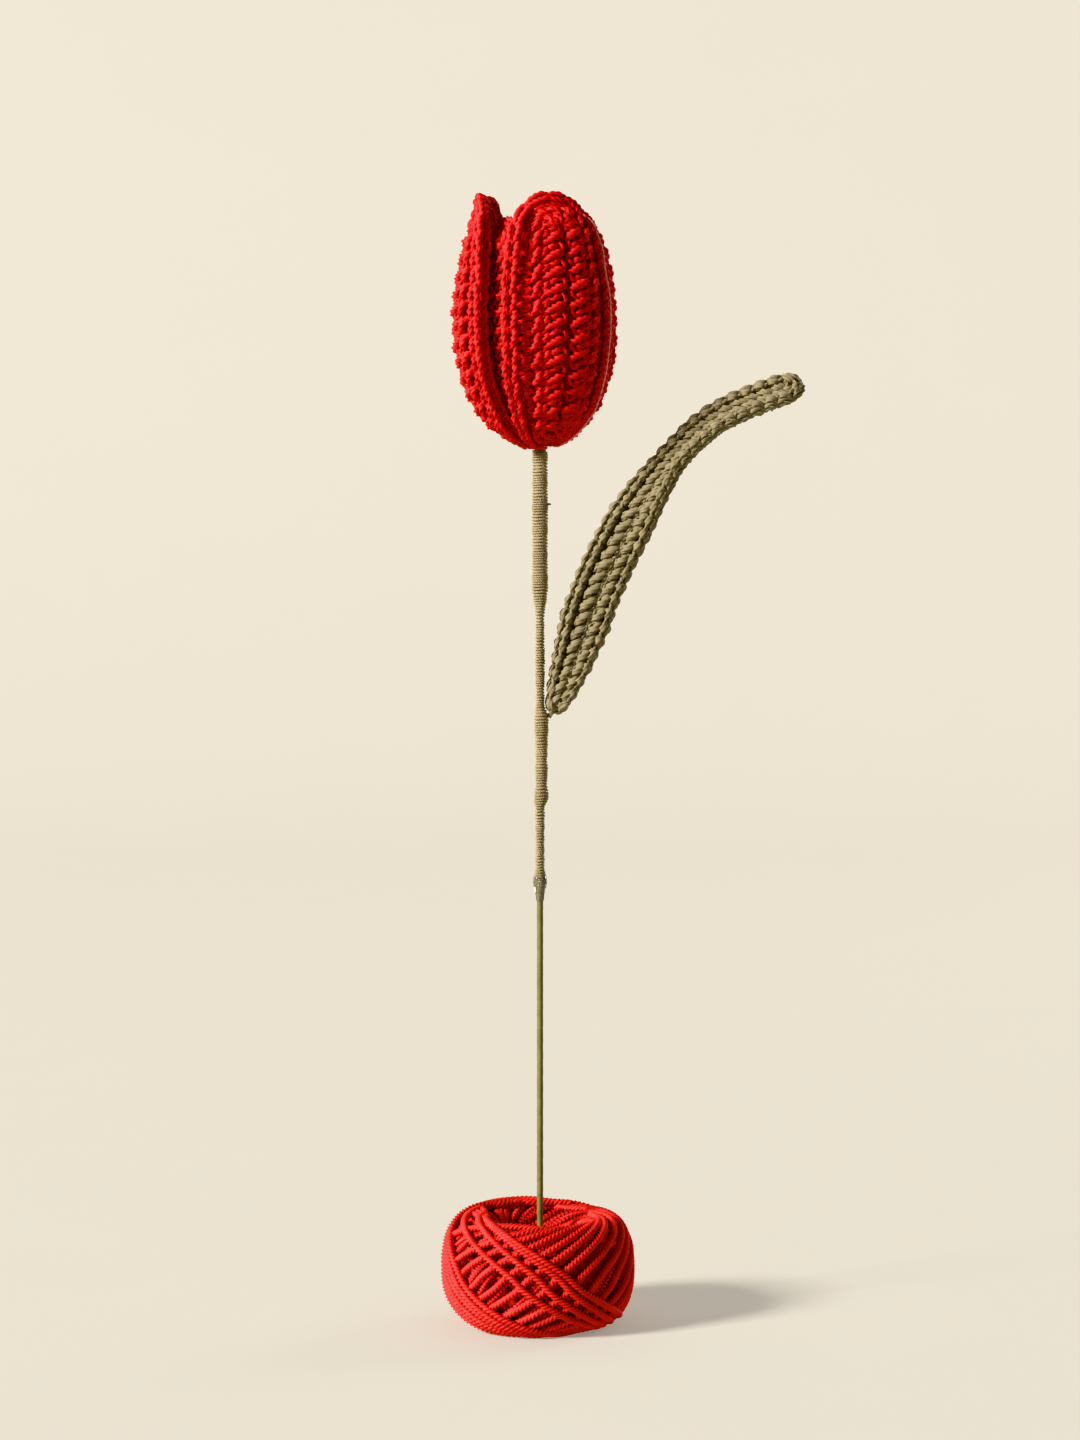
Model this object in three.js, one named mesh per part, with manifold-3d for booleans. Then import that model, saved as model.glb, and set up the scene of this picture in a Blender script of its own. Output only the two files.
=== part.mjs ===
// Crochet tulip on a wire stem, standing in the hollow of a ball of yarn.
// Millimetres, +Z up, origin on the floor under the stem, -Y towards the front.
import * as THREE from "three";
import { mergeVertices } from "three/addons/utils/BufferGeometryUtils.js";
import Module from "manifold-3d";

const wasm = await Module();
wasm.setup();

// Fits
const clearance = 0.3; // between pieces that rest on each other
const sleeveClearance = 0.12; // between round pieces drawn tight over one another

// Ball of yarn
const yarnDiameter = 2;
const ballRadius = 24.6;
const ballHeight = 28.6;
const crestRadius = 14.5; // radius of the ball's highest ring
const ringSquareness = 0.82; // below 1 the ring's section is squarer than an oval
const windingLoops = 12;
const windingReach = THREE.MathUtils.degToRad(97); // how far a loop climbs over the crest and under the belly
const windingFlatten = 0.12; // lays the strands flatter on the ball's side
const layerLift = 1.6; // half the distance between falling and rising strands
const windingSwap = 0.55; // stretch in which a strand changes layer, as a share of the step between loops
const windingStart = -0.35; // radians before the first crest
const windingTail = 1.0; // radians by which the last loop stops short
const windingSteps = 36; // straight steps in one loop
const flatDepth = yarnDiameter / 10; // strands pressed flat on the floor
const bellyPadRadius = 6.5;
const bellyPadRound = 1; // rounded edge of the pad, and of the hollow's floor
const coreFrom = -0.78 * Math.PI; // the stretch of the ring's section that the core shows, over its outside
const coreTo = 0.88 * Math.PI;
const hollowRadius = 8.6;
const hollowFloor = 8;
const socketDepth = 6;

// Stem
const steelDiameter = 1;
const coverDiameter = 1.7;
const threadBuild = 0.25; // thickness of the wound thread
const headHeight = 220.3; // underside of the flower
const coverTop = headHeight - 1;
const wrapBottom = 110;
const tailsLength = 34;
const tailsTaper = 8;
const tailLobes = 6;
const tailStrand = 0.7; // thickness of the bound yarn ends
const tailGroove = 0.18; // depth of the grooves between them
const tailsRise = 6.2; // how far the bound ends reach up into the flower
const hookRadius = 1.7;
const hookRise = 3; // from the bound ends to the hook
const hookTail = 1.2;
const endLumpHalf = 1.6; // half the height of the lump where the thread ends

// Clear glue where the wrap ends
const glueBottom = 106.6;
const glueTop = 113.4;
const glueBuild = 0.2;

// Leaf
const leafWireDiameter = 0.6;
const leafHeight = 153.4; // where the leaf leaves the stem
const leafTailLength = 20;
const leafTailRamp = 2.2; // stretch in which the wrap rises over the end of the leaf's wire
const leafNeckBuild = 0.28; // extra thread wound on just under the leaf
const leafNeckLength = 9;
const leafRootOut = 3.2; // from the stem's axis to the leaf's root
const leafRootRise = 1.2;
const leafReach = 65; // from the stem's axis to the leaf's tip
const leafRise = 82;
const leafSag = 1.2; // how far its middle bows to the front
const leafLine = [
  [leafRootOut, 0, leafHeight + leafRootRise],
  [0.129 * leafReach, -0.5 * leafSag, leafHeight + 0.148 * leafRise],
  [0.257 * leafReach, -leafSag, leafHeight + 0.428 * leafRise],
  [0.432 * leafReach, -leafSag, leafHeight + 0.696 * leafRise],
  [0.66 * leafReach, -0.5 * leafSag, leafHeight + 0.89 * leafRise],
  [leafReach, 0, leafHeight + leafRise],
];
const leafHalfWidth = 6;
const leafThickness = 2.4;
const leafEdgeThickness = 1.7;
const leafRootWidth = 0.22; // width at the very root, as a share of the full width
const leafRootShare = 0.26; // share of the length in which the root widens
const leafTipWidth = 0.25;
const leafTipShare = 0.05; // share of the length in which the tip rounds in
const leafTaper = 0.33; // share of the width lost towards the tip
const leafTaperFrom = 0.46; // shares of the length between which it is lost
const leafTaperTo = 0.68;
const leafFoldBase = THREE.MathUtils.degToRad(-10); // each half is turned up by this much, or down below 0
const leafFoldTip = THREE.MathUtils.degToRad(24);
const leafTurnBase = THREE.MathUtils.degToRad(80); // how far the leaf's face is turned to the front
const leafTurnTip = THREE.MathUtils.degToRad(52);
const leafBendFrom = 0.35; // shares of the length between which fold and turn change
const leafBendTo = 0.68;
const leafWireShare = 0.9; // share of the leaf that the wire reaches

// Petals
const petalThickness = 3;
const petalLayerGap = 0.45;
const innerPetalReach = 0.94; // length of the inner petals, as a share of the outer ones
const petalRootSlack = 0.3; // room at the root for a petal to lean
const petalRootRadius = coverDiameter / 2 + sleeveClearance + tailStrand + clearance + petalRootSlack;
const petalFoot = 3.2; // nearly flat stretch at the root
const petalFootRise = 0.3;
const petalRadius = 19; // where the cup is widest
const petalHeight = 62.6;
const petalSide = [
  [petalRootRadius, petalThickness / 2],
  [petalRootRadius + petalFoot, petalThickness / 2 + petalFootRise],
  [0.495 * petalRadius, 0.07 * petalHeight],
  [0.774 * petalRadius, 0.176 * petalHeight],
  [0.953 * petalRadius, 0.326 * petalHeight],
  [petalRadius, 0.513 * petalHeight],
  [0.937 * petalRadius, 0.684 * petalHeight],
  [0.779 * petalRadius, 0.847 * petalHeight],
  [0.432 * petalRadius, petalHeight],
];
const petalHalfAngle = THREE.MathUtils.degToRad(46);
const petalTipPower = 24; // how squarely the sides run up before the tip rounds in
const petalTwistFrom = 0.65; // share of the length above which a petal twists
const petalTipFrom = 0.82; // share of the length above which a tip stands away
const petalEdgeSteps = 28;
const petalRoundHalf = petalThickness / 2 - 0.15; // half thickness on a round of stitches, and in the valleys beside it
const petalValleyHalf = petalRoundHalf - 0.35;
const chainFrom = 0.15; // the chain down the middle of a petal, as shares of its length
const chainTo = 0.84;
const rounds = [
  { out: 0, half: petalRoundHalf },
  { out: 0.3, half: petalValleyHalf },
  { out: 0.56, half: petalRoundHalf },
  { out: 0.76, half: petalValleyHalf },
  { out: 0.93, half: petalThickness / 2 },
];
// Each petal's place round the stem and its lean and twist in degrees, and how far its tip stands away
const outerPetals = [
  { name: "outer_petal_front", turn: 18, lean: 0, twist: 0, tipOut: 0 },
  { name: "outer_petal_left", turn: -88, lean: 1.5, twist: -15, tipOut: 4.5 },
  { name: "outer_petal_right", turn: 152, lean: 0, twist: 0, tipOut: 0 },
];
const innerPetals = [
  { name: "inner_petal_front", turn: -50, lean: 0, twist: -18, tipOut: 1.2 },
  { name: "inner_petal_right", turn: 81, lean: 0, twist: 0, tipOut: 0 },
  { name: "inner_petal_back", turn: 196, lean: 0, twist: 0, tipOut: 0 },
];

// Colours and finishes
const finishes = {
  redYarn: { color: "#b3161b", roughness: 0.9, metalness: 0 },
  ballYarn: { color: "#c92420", roughness: 0.9, metalness: 0 },
  leafYarn: { color: "#83713f", roughness: 0.9, metalness: 0 },
  wrapThread: { color: "#93804a", roughness: 0.85, metalness: 0 },
  wirePaper: { color: "#96893f", roughness: 0.8, metalness: 0 },
  wireSteel: { color: "#8d8f92", roughness: 0.4, metalness: 1 },
  clearGlue: { color: "#ddd8c8", roughness: 0.3, metalness: 0 },
};

const group = new THREE.Group();

// Adds one named piece in its own finish.
function addPiece(name, geometry, finish, parent = group) {
  const material = new THREE.MeshStandardMaterial(finishes[finish]);
  const mesh = new THREE.Mesh(geometry, material);
  mesh.name = name;
  parent.add(mesh);
}

// A mesh as a solid for cutting.
function toSolid(geometry) {
  const bare = geometry.clone();
  bare.deleteAttribute("normal");
  bare.deleteAttribute("uv");
  const merged = mergeVertices(bare, 1e-4);
  const vertProperties = new Float32Array(merged.attributes.position.array);
  const triVerts = new Uint32Array(merged.index.array);
  return new wasm.Manifold(new wasm.Mesh({ numProp: 3, vertProperties, triVerts }));
}

// A cut solid back as a mesh.
function toGeometry(solid) {
  const mesh = solid.getMesh();
  const geometry = new THREE.BufferGeometry();
  geometry.setAttribute("position", new THREE.BufferAttribute(new Float32Array(mesh.vertProperties), 3));
  geometry.setIndex(new THREE.BufferAttribute(new Uint32Array(mesh.triVerts), 1));
  return geometry;
}

// Triangles between rows of points, leaving out those drawn to nothing.
function skinRows(rows, closedAround) {
  const triangles = [];
  const add = (a, b, c) => {
    if (a.distanceTo(b) > 1e-6 && b.distanceTo(c) > 1e-6 && c.distanceTo(a) > 1e-6) triangles.push(a, b, c);
  };
  for (let row = 0; row < rows.length - 1; row += 1) {
    const count = rows[row].length;
    const last = closedAround ? count : count - 1;
    for (let i = 0; i < last; i += 1) {
      const next = (i + 1) % count;
      add(rows[row][i], rows[row][next], rows[row + 1][next]);
      add(rows[row][i], rows[row + 1][next], rows[row + 1][i]);
    }
  }
  return new THREE.BufferGeometry().setFromPoints(triangles);
}

// A tube of a few sides along a curve.
function tube(curve, diameter, sides, steps) {
  const outline = new THREE.Shape();
  for (let i = 0; i < sides; i += 1) {
    const angle = (2 * Math.PI * i) / sides;
    const x = (diameter / 2) * Math.cos(angle);
    const y = (diameter / 2) * Math.sin(angle);
    if (i === 0) outline.moveTo(x, y);
    else outline.lineTo(x, y);
  }
  curve.arcLengthDivisions = steps * 8;
  return new THREE.ExtrudeGeometry(outline, { steps, extrudePath: curve, bevelEnabled: false });
}

// A turned piece from a side outline of [radius, height] points.
function turned(outline, segments) {
  const points = outline.map(([radius, height]) => new THREE.Vector2(radius, height));
  return new THREE.LatheGeometry(points, segments).rotateX(Math.PI / 2);
}

// Ball of yarn: the ring that the strands lie on, as half-widths about the crest ring
const strandRadius = yarnDiameter / 2;
const ringHalfWidth = ballRadius - crestRadius - strandRadius - layerLift;
const ringHalfHeight = (ballHeight + flatDepth) / 2 - strandRadius - layerLift;
const ringCentre = ballHeight - strandRadius - layerLift - ringHalfHeight;

// A point at an angle round the ring's section, lifted off the middle layer.
function ringPoint(sectionAngle, lift) {
  const square = (part) => Math.sign(part) * Math.abs(part) ** ringSquareness;
  const radius = crestRadius + (ringHalfWidth + lift) * square(Math.cos(sectionAngle));
  const height = ringCentre + (ringHalfHeight + lift) * square(Math.sin(sectionAngle));
  return [radius, height];
}

// The wound strand: once round the stem for each rise over the crest and fall under the belly, a step on each loop.
class WoundStrand extends THREE.Curve {
  getPoint(share) {
    const swing = windingStart + share * (2 * Math.PI * windingLoops - windingTail);
    const turn = (swing * (windingLoops + 1)) / windingLoops;
    const wave = (1 - windingFlatten) * Math.cos(swing) + windingFlatten * Math.cos(3 * swing);
    const fromCrest = swing - Math.PI * Math.round(swing / Math.PI);
    const falling = Math.round(swing / Math.PI) % 2 === 0 ? 1 : -1;
    const swapHalf = (windingSwap * 2 * Math.PI) / windingLoops;
    const swap = THREE.MathUtils.clamp(fromCrest / swapHalf, -1, 1);
    const lift = falling * layerLift * Math.sin((swap * Math.PI) / 2);
    const [radius, height] = ringPoint(windingReach * wave, lift);
    return new THREE.Vector3(radius * Math.sin(turn), -radius * Math.cos(turn), height);
  }
}

// The strand's least gap to itself, on points of its straight steps.
function leastGap(curve, steps, diameter) {
  const corners = curve.getSpacedPoints(steps);
  const perStep = 4;
  const points = [];
  for (let i = 0; i < steps; i += 1) {
    for (let k = 0; k < perStep; k += 1) points.push(corners[i].clone().lerp(corners[i + 1], k / perStep));
  }
  const apart = Math.ceil((4 * diameter) / (points[0].distanceTo(points[1])));
  let least = Infinity;
  for (let i = 0; i < points.length; i += 1) {
    for (let j = i + apart; j < points.length; j += 1) least = Math.min(least, points[i].distanceTo(points[j]));
  }
  return least - diameter;
}

function buildWinding() {
  const strand = new WoundStrand();
  const steps = windingLoops * windingSteps;
  const wound = toSolid(tube(strand, yarnDiameter, 6, steps));
  console.log("least gap of the winding to itself, mm:", leastGap(strand, steps, yarnDiameter).toFixed(3));
  const floor = new THREE.BoxGeometry(4 * ballRadius, 4 * ballRadius, ballRadius).translate(0, 0, -ballRadius / 2);
  addPiece("yarn_winding", toGeometry(wound.subtract(toSolid(floor))), "ballYarn");
}

function buildCore() {
  const under = -(layerLift + strandRadius + clearance);
  const outline = [
    [0, 0],
    [bellyPadRadius, 0],
    [bellyPadRadius + bellyPadRound, bellyPadRound],
  ];
  const sectionSteps = 14;
  for (let i = 0; i <= sectionSteps; i += 1) {
    outline.push(ringPoint(coreFrom + ((coreTo - coreFrom) * i) / sectionSteps, under));
  }
  const socketRadius = coverDiameter / 2 + clearance;
  outline.push([hollowRadius, hollowFloor + bellyPadRound]);
  outline.push([hollowRadius - bellyPadRound, hollowFloor]);
  outline.push([socketRadius, hollowFloor]);
  outline.push([socketRadius, hollowFloor - socketDepth]);
  outline.push([0, hollowFloor - socketDepth]);
  addPiece("yarn_core", turned(outline, 32), "ballYarn");
}

// Stem wire with its hooked top
const wireFoot = hollowFloor - socketDepth + clearance;
const hookHeight = headHeight + tailsRise + hookRise;

function buildStemWire() {
  const path = new THREE.CurvePath();
  const top = new THREE.Vector3(0, 0, hookHeight);
  path.add(new THREE.LineCurve3(new THREE.Vector3(0, 0, wireFoot), top));
  const bend = new THREE.CubicBezierCurve3(
    top,
    new THREE.Vector3(0, 0, hookHeight + hookRadius * 1.33),
    new THREE.Vector3(2 * hookRadius, 0, hookHeight + hookRadius * 1.33),
    new THREE.Vector3(2 * hookRadius, 0, hookHeight),
  );
  path.add(bend);
  path.add(new THREE.LineCurve3(bend.v3, new THREE.Vector3(2 * hookRadius, 0, hookHeight - hookTail)));
  addPiece("stem_wire", tube(path, steelDiameter, 8, 260), "wireSteel");
}

function buildWireCover() {
  const inner = steelDiameter / 2 + sleeveClearance;
  const outer = coverDiameter / 2;
  const outline = [
    [inner, wireFoot],
    [outer, wireFoot],
    [outer, coverTop],
    [inner, coverTop],
    [inner, wireFoot],
  ];
  addPiece("wire_cover", turned(outline, 10), "wirePaper");
}

// Yarn ends of the petals, bound round the wire as one lobed bundle
const tailsInner = coverDiameter / 2 + sleeveClearance;
const tailsOuter = tailsInner + tailStrand;

function buildPetalTails() {
  const lobeSteps = 5;
  const count = tailLobes * lobeSteps;
  const outline = new THREE.Shape();
  for (let i = 0; i < count; i += 1) {
    const angle = (2 * Math.PI * i) / count;
    const radius = tailsOuter - tailGroove * (0.5 - 0.5 * Math.cos(tailLobes * angle));
    if (i === 0) outline.moveTo(radius, 0);
    else outline.lineTo(radius * Math.cos(angle), radius * Math.sin(angle));
  }
  const bore = new THREE.Path();
  bore.absarc(0, 0, tailsInner, 0, 2 * Math.PI, true);
  outline.holes.push(bore);
  const depth = tailsLength + tailsRise;
  const geometry = new THREE.ExtrudeGeometry(outline, { depth, steps: 1, bevelEnabled: false, curveSegments: 5 });
  addPiece("petal_tails", geometry.translate(0, 0, headHeight - tailsLength), "redYarn");
}

// Thread wound over the stem: rings that follow what lies under them
const tailSide = (leafWireDiameter + sleeveClearance) / 2; // how far the leaf's wire pushes the wrap aside
const thinBore = coverDiameter / 2 + sleeveClearance;
const thickBore = tailsOuter + sleeveClearance;
const leafBore = thinBore + tailSide;
const wrapTop = headHeight - clearance;

const tailsBottom = headHeight - tailsLength - clearance;
const leafTailBottom = leafHeight - leafTailLength - clearance;

// Lumps in the wrap: over the middle and the end of the leaf's wire, and where the thread ends
const wrapEndLump = { height: wrapBottom + endLumpHalf, bulge: 0.2, half: endLumpHalf };
const wrapLumps = [
  { height: leafHeight - 0.67 * leafTailLength, bulge: 0.2, half: 2.4 },
  { height: leafTailBottom, bulge: 0.35, half: 3 },
  wrapEndLump,
];

function wrapRing(height) {
  const ramp = THREE.MathUtils.smoothstep;
  const thick = ramp(height, tailsBottom - tailsTaper, tailsBottom);
  const above = ramp(height, leafHeight + clearance, leafHeight + clearance + leafTailRamp);
  const aside = ramp(height, leafTailBottom - leafTailRamp, leafTailBottom) * (1 - above);
  let build = threadBuild + leafNeckBuild * aside * ramp(height, leafHeight - leafNeckLength, leafHeight);
  for (const lump of wrapLumps) {
    const off = THREE.MathUtils.clamp((height - lump.height) / lump.half, -1, 1);
    build += lump.bulge * Math.cos((off * Math.PI) / 2) ** 2;
  }
  const bore = Math.max(thinBore + (thickBore - thinBore) * thick, thinBore + (leafBore - thinBore) * aside);
  return { bore, outer: bore + build, shift: tailSide * aside };
}

// Heights at which the wrap changes, from its bottom up.
function wrapHeights() {
  const all = [wrapBottom, wrapTop];
  const add = (from, to, count) => {
    for (let i = 0; i <= count; i += 1) all.push(from + ((to - from) * i) / count);
  };
  for (const { height, half } of wrapLumps) add(height - half, height + half, 6);
  add(leafTailBottom - leafTailRamp, leafTailBottom, 3);
  add(leafHeight - leafNeckLength, leafHeight, 3);
  add(leafHeight + clearance, leafHeight + clearance + leafTailRamp, 3);
  add(tailsBottom - tailsTaper, tailsBottom, 5);
  const least = threadBuild; // rings lie no closer than this
  const inside = all.filter((height) => height >= wrapBottom && height <= wrapTop).sort((a, b) => a - b);
  return inside.filter((height, i) => i === 0 || i === inside.length - 1 || height - inside[i - 1] > least);
}

function buildWrap() {
  const heights = wrapHeights();
  const sides = 10;
  const ringOf = (height, radius, shift) => {
    const ring = [];
    for (let i = 0; i < sides; i += 1) {
      const angle = (2 * Math.PI * i) / sides;
      ring.push(new THREE.Vector3(shift + radius * Math.cos(angle), radius * Math.sin(angle), height));
    }
    return ring;
  };
  const outside = heights.map((height) => ringOf(height, wrapRing(height).outer, wrapRing(height).shift));
  const inside = heights.map((height) => ringOf(height, wrapRing(height).bore, wrapRing(height).shift));
  const rows = [...outside, ...inside.reverse(), outside[0]];
  addPiece("stem_wrap", skinRows(rows, true), "wrapThread");
}

function buildGlue() {
  const end = wrapRing(wrapEndLump.height).outer + sleeveClearance;
  const shoulder = wrapBottom - clearance;
  const outline = [
    [thinBore, glueBottom],
    [thinBore + glueBuild, glueBottom],
    [end + glueBuild, wrapEndLump.height - clearance],
    [end + glueBuild, glueTop],
    [end, glueTop],
    [end, shoulder],
    [thinBore, shoulder - clearance],
    [thinBore, glueBottom],
  ];
  addPiece("glue_collar", turned(outline, 12), "clearGlue");
}

// Leaf: a folded strip along a bowed line, with its wire inside
const leafCurve = new THREE.CatmullRomCurve3(leafLine.map((point) => new THREE.Vector3(...point)));
const leafLength = leafCurve.getLength();

// Half the leaf's width along its length, rounded at both ends.
function leafWidthAt(share) {
  const root = Math.sqrt(THREE.MathUtils.clamp(share / leafRootShare, 0, 1));
  const past = THREE.MathUtils.clamp((share - 1 + leafTipShare) / leafTipShare, 0, 1);
  const tip = Math.sqrt(1 - past ** 2);
  const taper = 1 - leafTaper * THREE.MathUtils.smoothstep(share, leafTaperFrom, leafTaperTo);
  const ends = (leafRootWidth + (1 - leafRootWidth) * root) * (leafTipWidth + (1 - leafTipWidth) * tip);
  return leafHalfWidth * ends * taper;
}

// A value that changes from the leaf's base to its tip.
function leafBlend(base, tip, share) {
  return base + (tip - base) * THREE.MathUtils.smoothstep(share, leafBendFrom, leafBendTo);
}

// The leaf's directions at a share of its length: along, across and out of its upper face.
function leafFrame(share) {
  const along = leafCurve.getTangentAt(share);
  const depth = new THREE.Vector3(0, 1, 0);
  const upper = new THREE.Vector3().crossVectors(along, depth).normalize();
  const side = new THREE.Vector3().crossVectors(upper, along).normalize();
  const turn = leafBlend(leafTurnBase, leafTurnTip, share);
  const across = side.clone().applyAxisAngle(along, turn);
  const face = upper.clone().applyAxisAngle(along, turn);
  return { along, across, face };
}

function leafRing(share) {
  const { across, face } = leafFrame(share);
  const centre = leafCurve.getPointAt(share);
  const width = leafWidthAt(share);
  const slope = Math.tan(leafBlend(leafFoldBase, leafFoldTip, share));
  const place = (part, side) => {
    const half = (Math.abs(part) === 1 ? leafEdgeThickness : leafThickness) / 2;
    const height = Math.abs(part) * width * slope + side * half;
    return centre.clone().addScaledVector(across, part * width).addScaledVector(face, height);
  };
  const parts = [-1, -0.5, 0, 0.5, 1];
  const upper = parts.map((part) => place(part, 1));
  const lower = parts.map((part) => place(part, -1)).reverse();
  return [...upper, ...lower];
}

// The line of the leaf's wire, which runs straight on below the leaf.
class LeafWireLine extends THREE.Curve {
  constructor(below, to) {
    super();
    this.below = below;
    this.to = to;
  }

  getPoint(share) {
    const at = share * (this.below + this.to * leafLength) - this.below;
    if (at >= 0) return leafCurve.getPointAt(at / leafLength);
    return leafCurve.getPointAt(0).addScaledVector(leafCurve.getTangentAt(0), at);
  }
}

function buildLeaf() {
  const steps = 26;
  const rows = [];
  for (let i = steps; i >= 0; i -= 1) rows.push(leafRing(i / steps));
  const middle = (row) => {
    const sum = row.reduce((total, point) => total.add(point), new THREE.Vector3());
    return row.map(() => sum.clone().divideScalar(row.length));
  };
  const skin = skinRows([middle(rows[0]), ...rows, middle(rows[steps])], true);
  const boreLine = new LeafWireLine(leafHalfWidth, leafWireShare + clearance / leafLength);
  const bore = tube(boreLine, leafWireDiameter + 2 * clearance, 6, steps);
  addPiece("leaf_blade", toGeometry(toSolid(skin).subtract(toSolid(bore))), "leafYarn");
  addPiece("leaf_wire", tube(new LeafWireLine(0, leafWireShare), leafWireDiameter, 6, steps), "wireSteel");
}

function buildLeafTail() {
  const aside = coverDiameter / 2 + sleeveClearance + leafWireDiameter / 2;
  const top = leafHeight;
  const line = new THREE.LineCurve3(new THREE.Vector3(aside, 0, top - leafTailLength), new THREE.Vector3(aside, 0, top));
  addPiece("leaf_wire_tail", tube(line, leafWireDiameter, 6, 1), "wireSteel");
}

// Petals: cupped ovals whose rounds of stitches run parallel to the edge
const outerSide = new THREE.CatmullRomCurve3(petalSide.map(([r, z]) => new THREE.Vector3(r, 0, z)));

// The side line of the inner petals, one petal's thickness inside the outer ones.
function insideLine() {
  const inset = petalThickness + petalLayerGap;
  const points = [new THREE.Vector3(petalRootRadius, 0, petalThickness / 2 + inset)];
  const count = petalSide.length - 1;
  for (let i = 1; i <= count; i += 1) {
    const share = (innerPetalReach * i) / count;
    const at = outerSide.getPointAt(share);
    const along = outerSide.getTangentAt(share);
    points.push(new THREE.Vector3(at.x - along.z * inset, 0, at.z + along.x * inset));
  }
  return new THREE.CatmullRomCurve3(points);
}

// Half-angle of a petal at a share of its length.
function petalWidth(share) {
  return petalHalfAngle * Math.sqrt(Math.max(0, 1 - share ** petalTipPower));
}

// A point of a petal facing the front: share up its side line, angle aside, lift off its middle layer.
function petalPoint(sideLine, { twist, tipOut }, share, angle, lift) {
  const at = sideLine.getPointAt(share);
  const along = sideLine.getTangentAt(share);
  const away = tipOut * THREE.MathUtils.smoothstep(share, petalTipFrom, 1);
  const radius = at.x + away + along.z * lift;
  const height = at.z - along.x * lift;
  const turned = angle + THREE.MathUtils.degToRad(twist) * THREE.MathUtils.smoothstep(share, petalTwistFrom, 1);
  return new THREE.Vector3(radius * Math.sin(turned), -radius * Math.cos(turned), height);
}

// Places round a petal's edge, from its root up one side, over the tip and down the other.
function petalEdge() {
  const places = [];
  for (let i = 0; i < petalEdgeSteps; i += 1) {
    const around = (2 * i) / petalEdgeSteps - 1;
    places.push({ share: 0.5 + 0.5 * Math.cos(around * Math.PI), side: Math.sign(around) });
  }
  return places;
}

function petalGeometry(sideLine, petal) {
  const edge = petalEdge();
  const place = ({ share, side }, { out, half }, face) => {
    const middle = THREE.MathUtils.clamp(share, chainFrom, chainTo);
    const at = middle + (share - middle) * out;
    return petalPoint(sideLine, petal, at, side * petalWidth(share) * out, face * half);
  };
  const outer = rounds.map((round) => edge.map((spot) => place(spot, round, 1)));
  const rim = edge.map((spot) => place(spot, { out: 1, half: 0 }, 0));
  const inner = rounds.map((round) => edge.map((spot) => place(spot, round, -1))).reverse();
  return skinRows([...outer, rim, ...inner], true);
}

// Petals hang in groups turned about the stem, and lean about their own roots.
const petalPivotRadius = petalRootRadius * Math.cos(petalHalfAngle);
const petalPivotDrop = 0.5;

function buildPetal(petal, sideLine) {
  const facing = new THREE.Group();
  facing.position.z = headHeight;
  facing.rotation.z = THREE.MathUtils.degToRad(petal.turn);
  const hinge = new THREE.Group();
  hinge.position.set(0, -petalPivotRadius, -petalPivotDrop);
  hinge.rotation.x = THREE.MathUtils.degToRad(petal.lean);
  const shape = petalGeometry(sideLine, petal).translate(0, petalPivotRadius, petalPivotDrop);
  addPiece(petal.name, shape, "redYarn", hinge);
  facing.add(hinge);
  group.add(facing);
}

function buildPetals() {
  for (const petal of outerPetals) buildPetal(petal, outerSide);
  const innerSide = insideLine();
  for (const petal of innerPetals) buildPetal(petal, innerSide);
}

buildCore();
buildWinding();
buildStemWire();
buildWireCover();
buildPetalTails();
buildWrap();
buildGlue();
buildLeafTail();
buildLeaf();
buildPetals();

export default group;
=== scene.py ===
import math
from typing import NamedTuple

import bmesh
import bpy
import numpy as np
from bpy.props import FloatProperty, FloatVectorProperty, IntProperty, PointerProperty
from mathutils import Matrix, Vector


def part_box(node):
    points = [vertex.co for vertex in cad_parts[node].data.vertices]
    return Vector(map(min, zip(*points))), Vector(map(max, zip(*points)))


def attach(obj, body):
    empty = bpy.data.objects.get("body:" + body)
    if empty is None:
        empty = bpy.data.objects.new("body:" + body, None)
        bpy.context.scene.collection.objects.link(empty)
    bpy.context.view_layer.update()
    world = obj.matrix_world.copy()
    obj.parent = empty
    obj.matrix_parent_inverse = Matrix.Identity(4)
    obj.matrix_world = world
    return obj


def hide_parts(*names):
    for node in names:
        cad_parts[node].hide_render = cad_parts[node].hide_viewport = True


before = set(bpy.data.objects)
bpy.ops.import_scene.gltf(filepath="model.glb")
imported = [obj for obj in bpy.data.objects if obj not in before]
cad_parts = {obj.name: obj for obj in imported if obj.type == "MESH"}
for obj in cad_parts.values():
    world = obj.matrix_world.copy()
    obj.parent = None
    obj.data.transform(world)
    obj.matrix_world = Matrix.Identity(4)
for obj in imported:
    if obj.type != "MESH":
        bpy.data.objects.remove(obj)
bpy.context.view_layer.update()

bl_info = {
    "name": "Crochet tulip",
    "version": (1, 0, 0),
    "blender": (4, 5, 0),
    "location": "View3D > Sidebar > Tulip",
    "description": "Crocheted tulip on a wrapped wire stem, standing in a ball of yarn",
    "category": "Object",
}

MM = 0.001
FULL_TURN = 2 * math.pi


def linear(code):
    """A colour written as sRGB hex, as linear red, green, blue and alpha."""
    parts = [int(code[i:i + 2], 16) / 255 for i in (1, 3, 5)]
    return tuple(c / 12.92 if c <= 0.04045 else ((c + 0.055) / 1.055) ** 2.4 for c in parts) + (1.0,)


def number(description, default):
    """A plain number that a user may change."""
    return FloatProperty(description=description, default=default)


def length(description, size):
    """A length, given in mm, that a user may change."""
    return FloatProperty(description=description, default=size * MM, unit="LENGTH", precision=5)


def angle(description, degrees):
    """An angle that a user may change."""
    return FloatProperty(description=description, default=math.radians(degrees), unit="ROTATION")


def colour(description, code):
    """A colour that a user may change."""
    return FloatVectorProperty(
        description=description, default=linear(code), size=4, subtype="COLOR", min=0, max=1
    )


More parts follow.
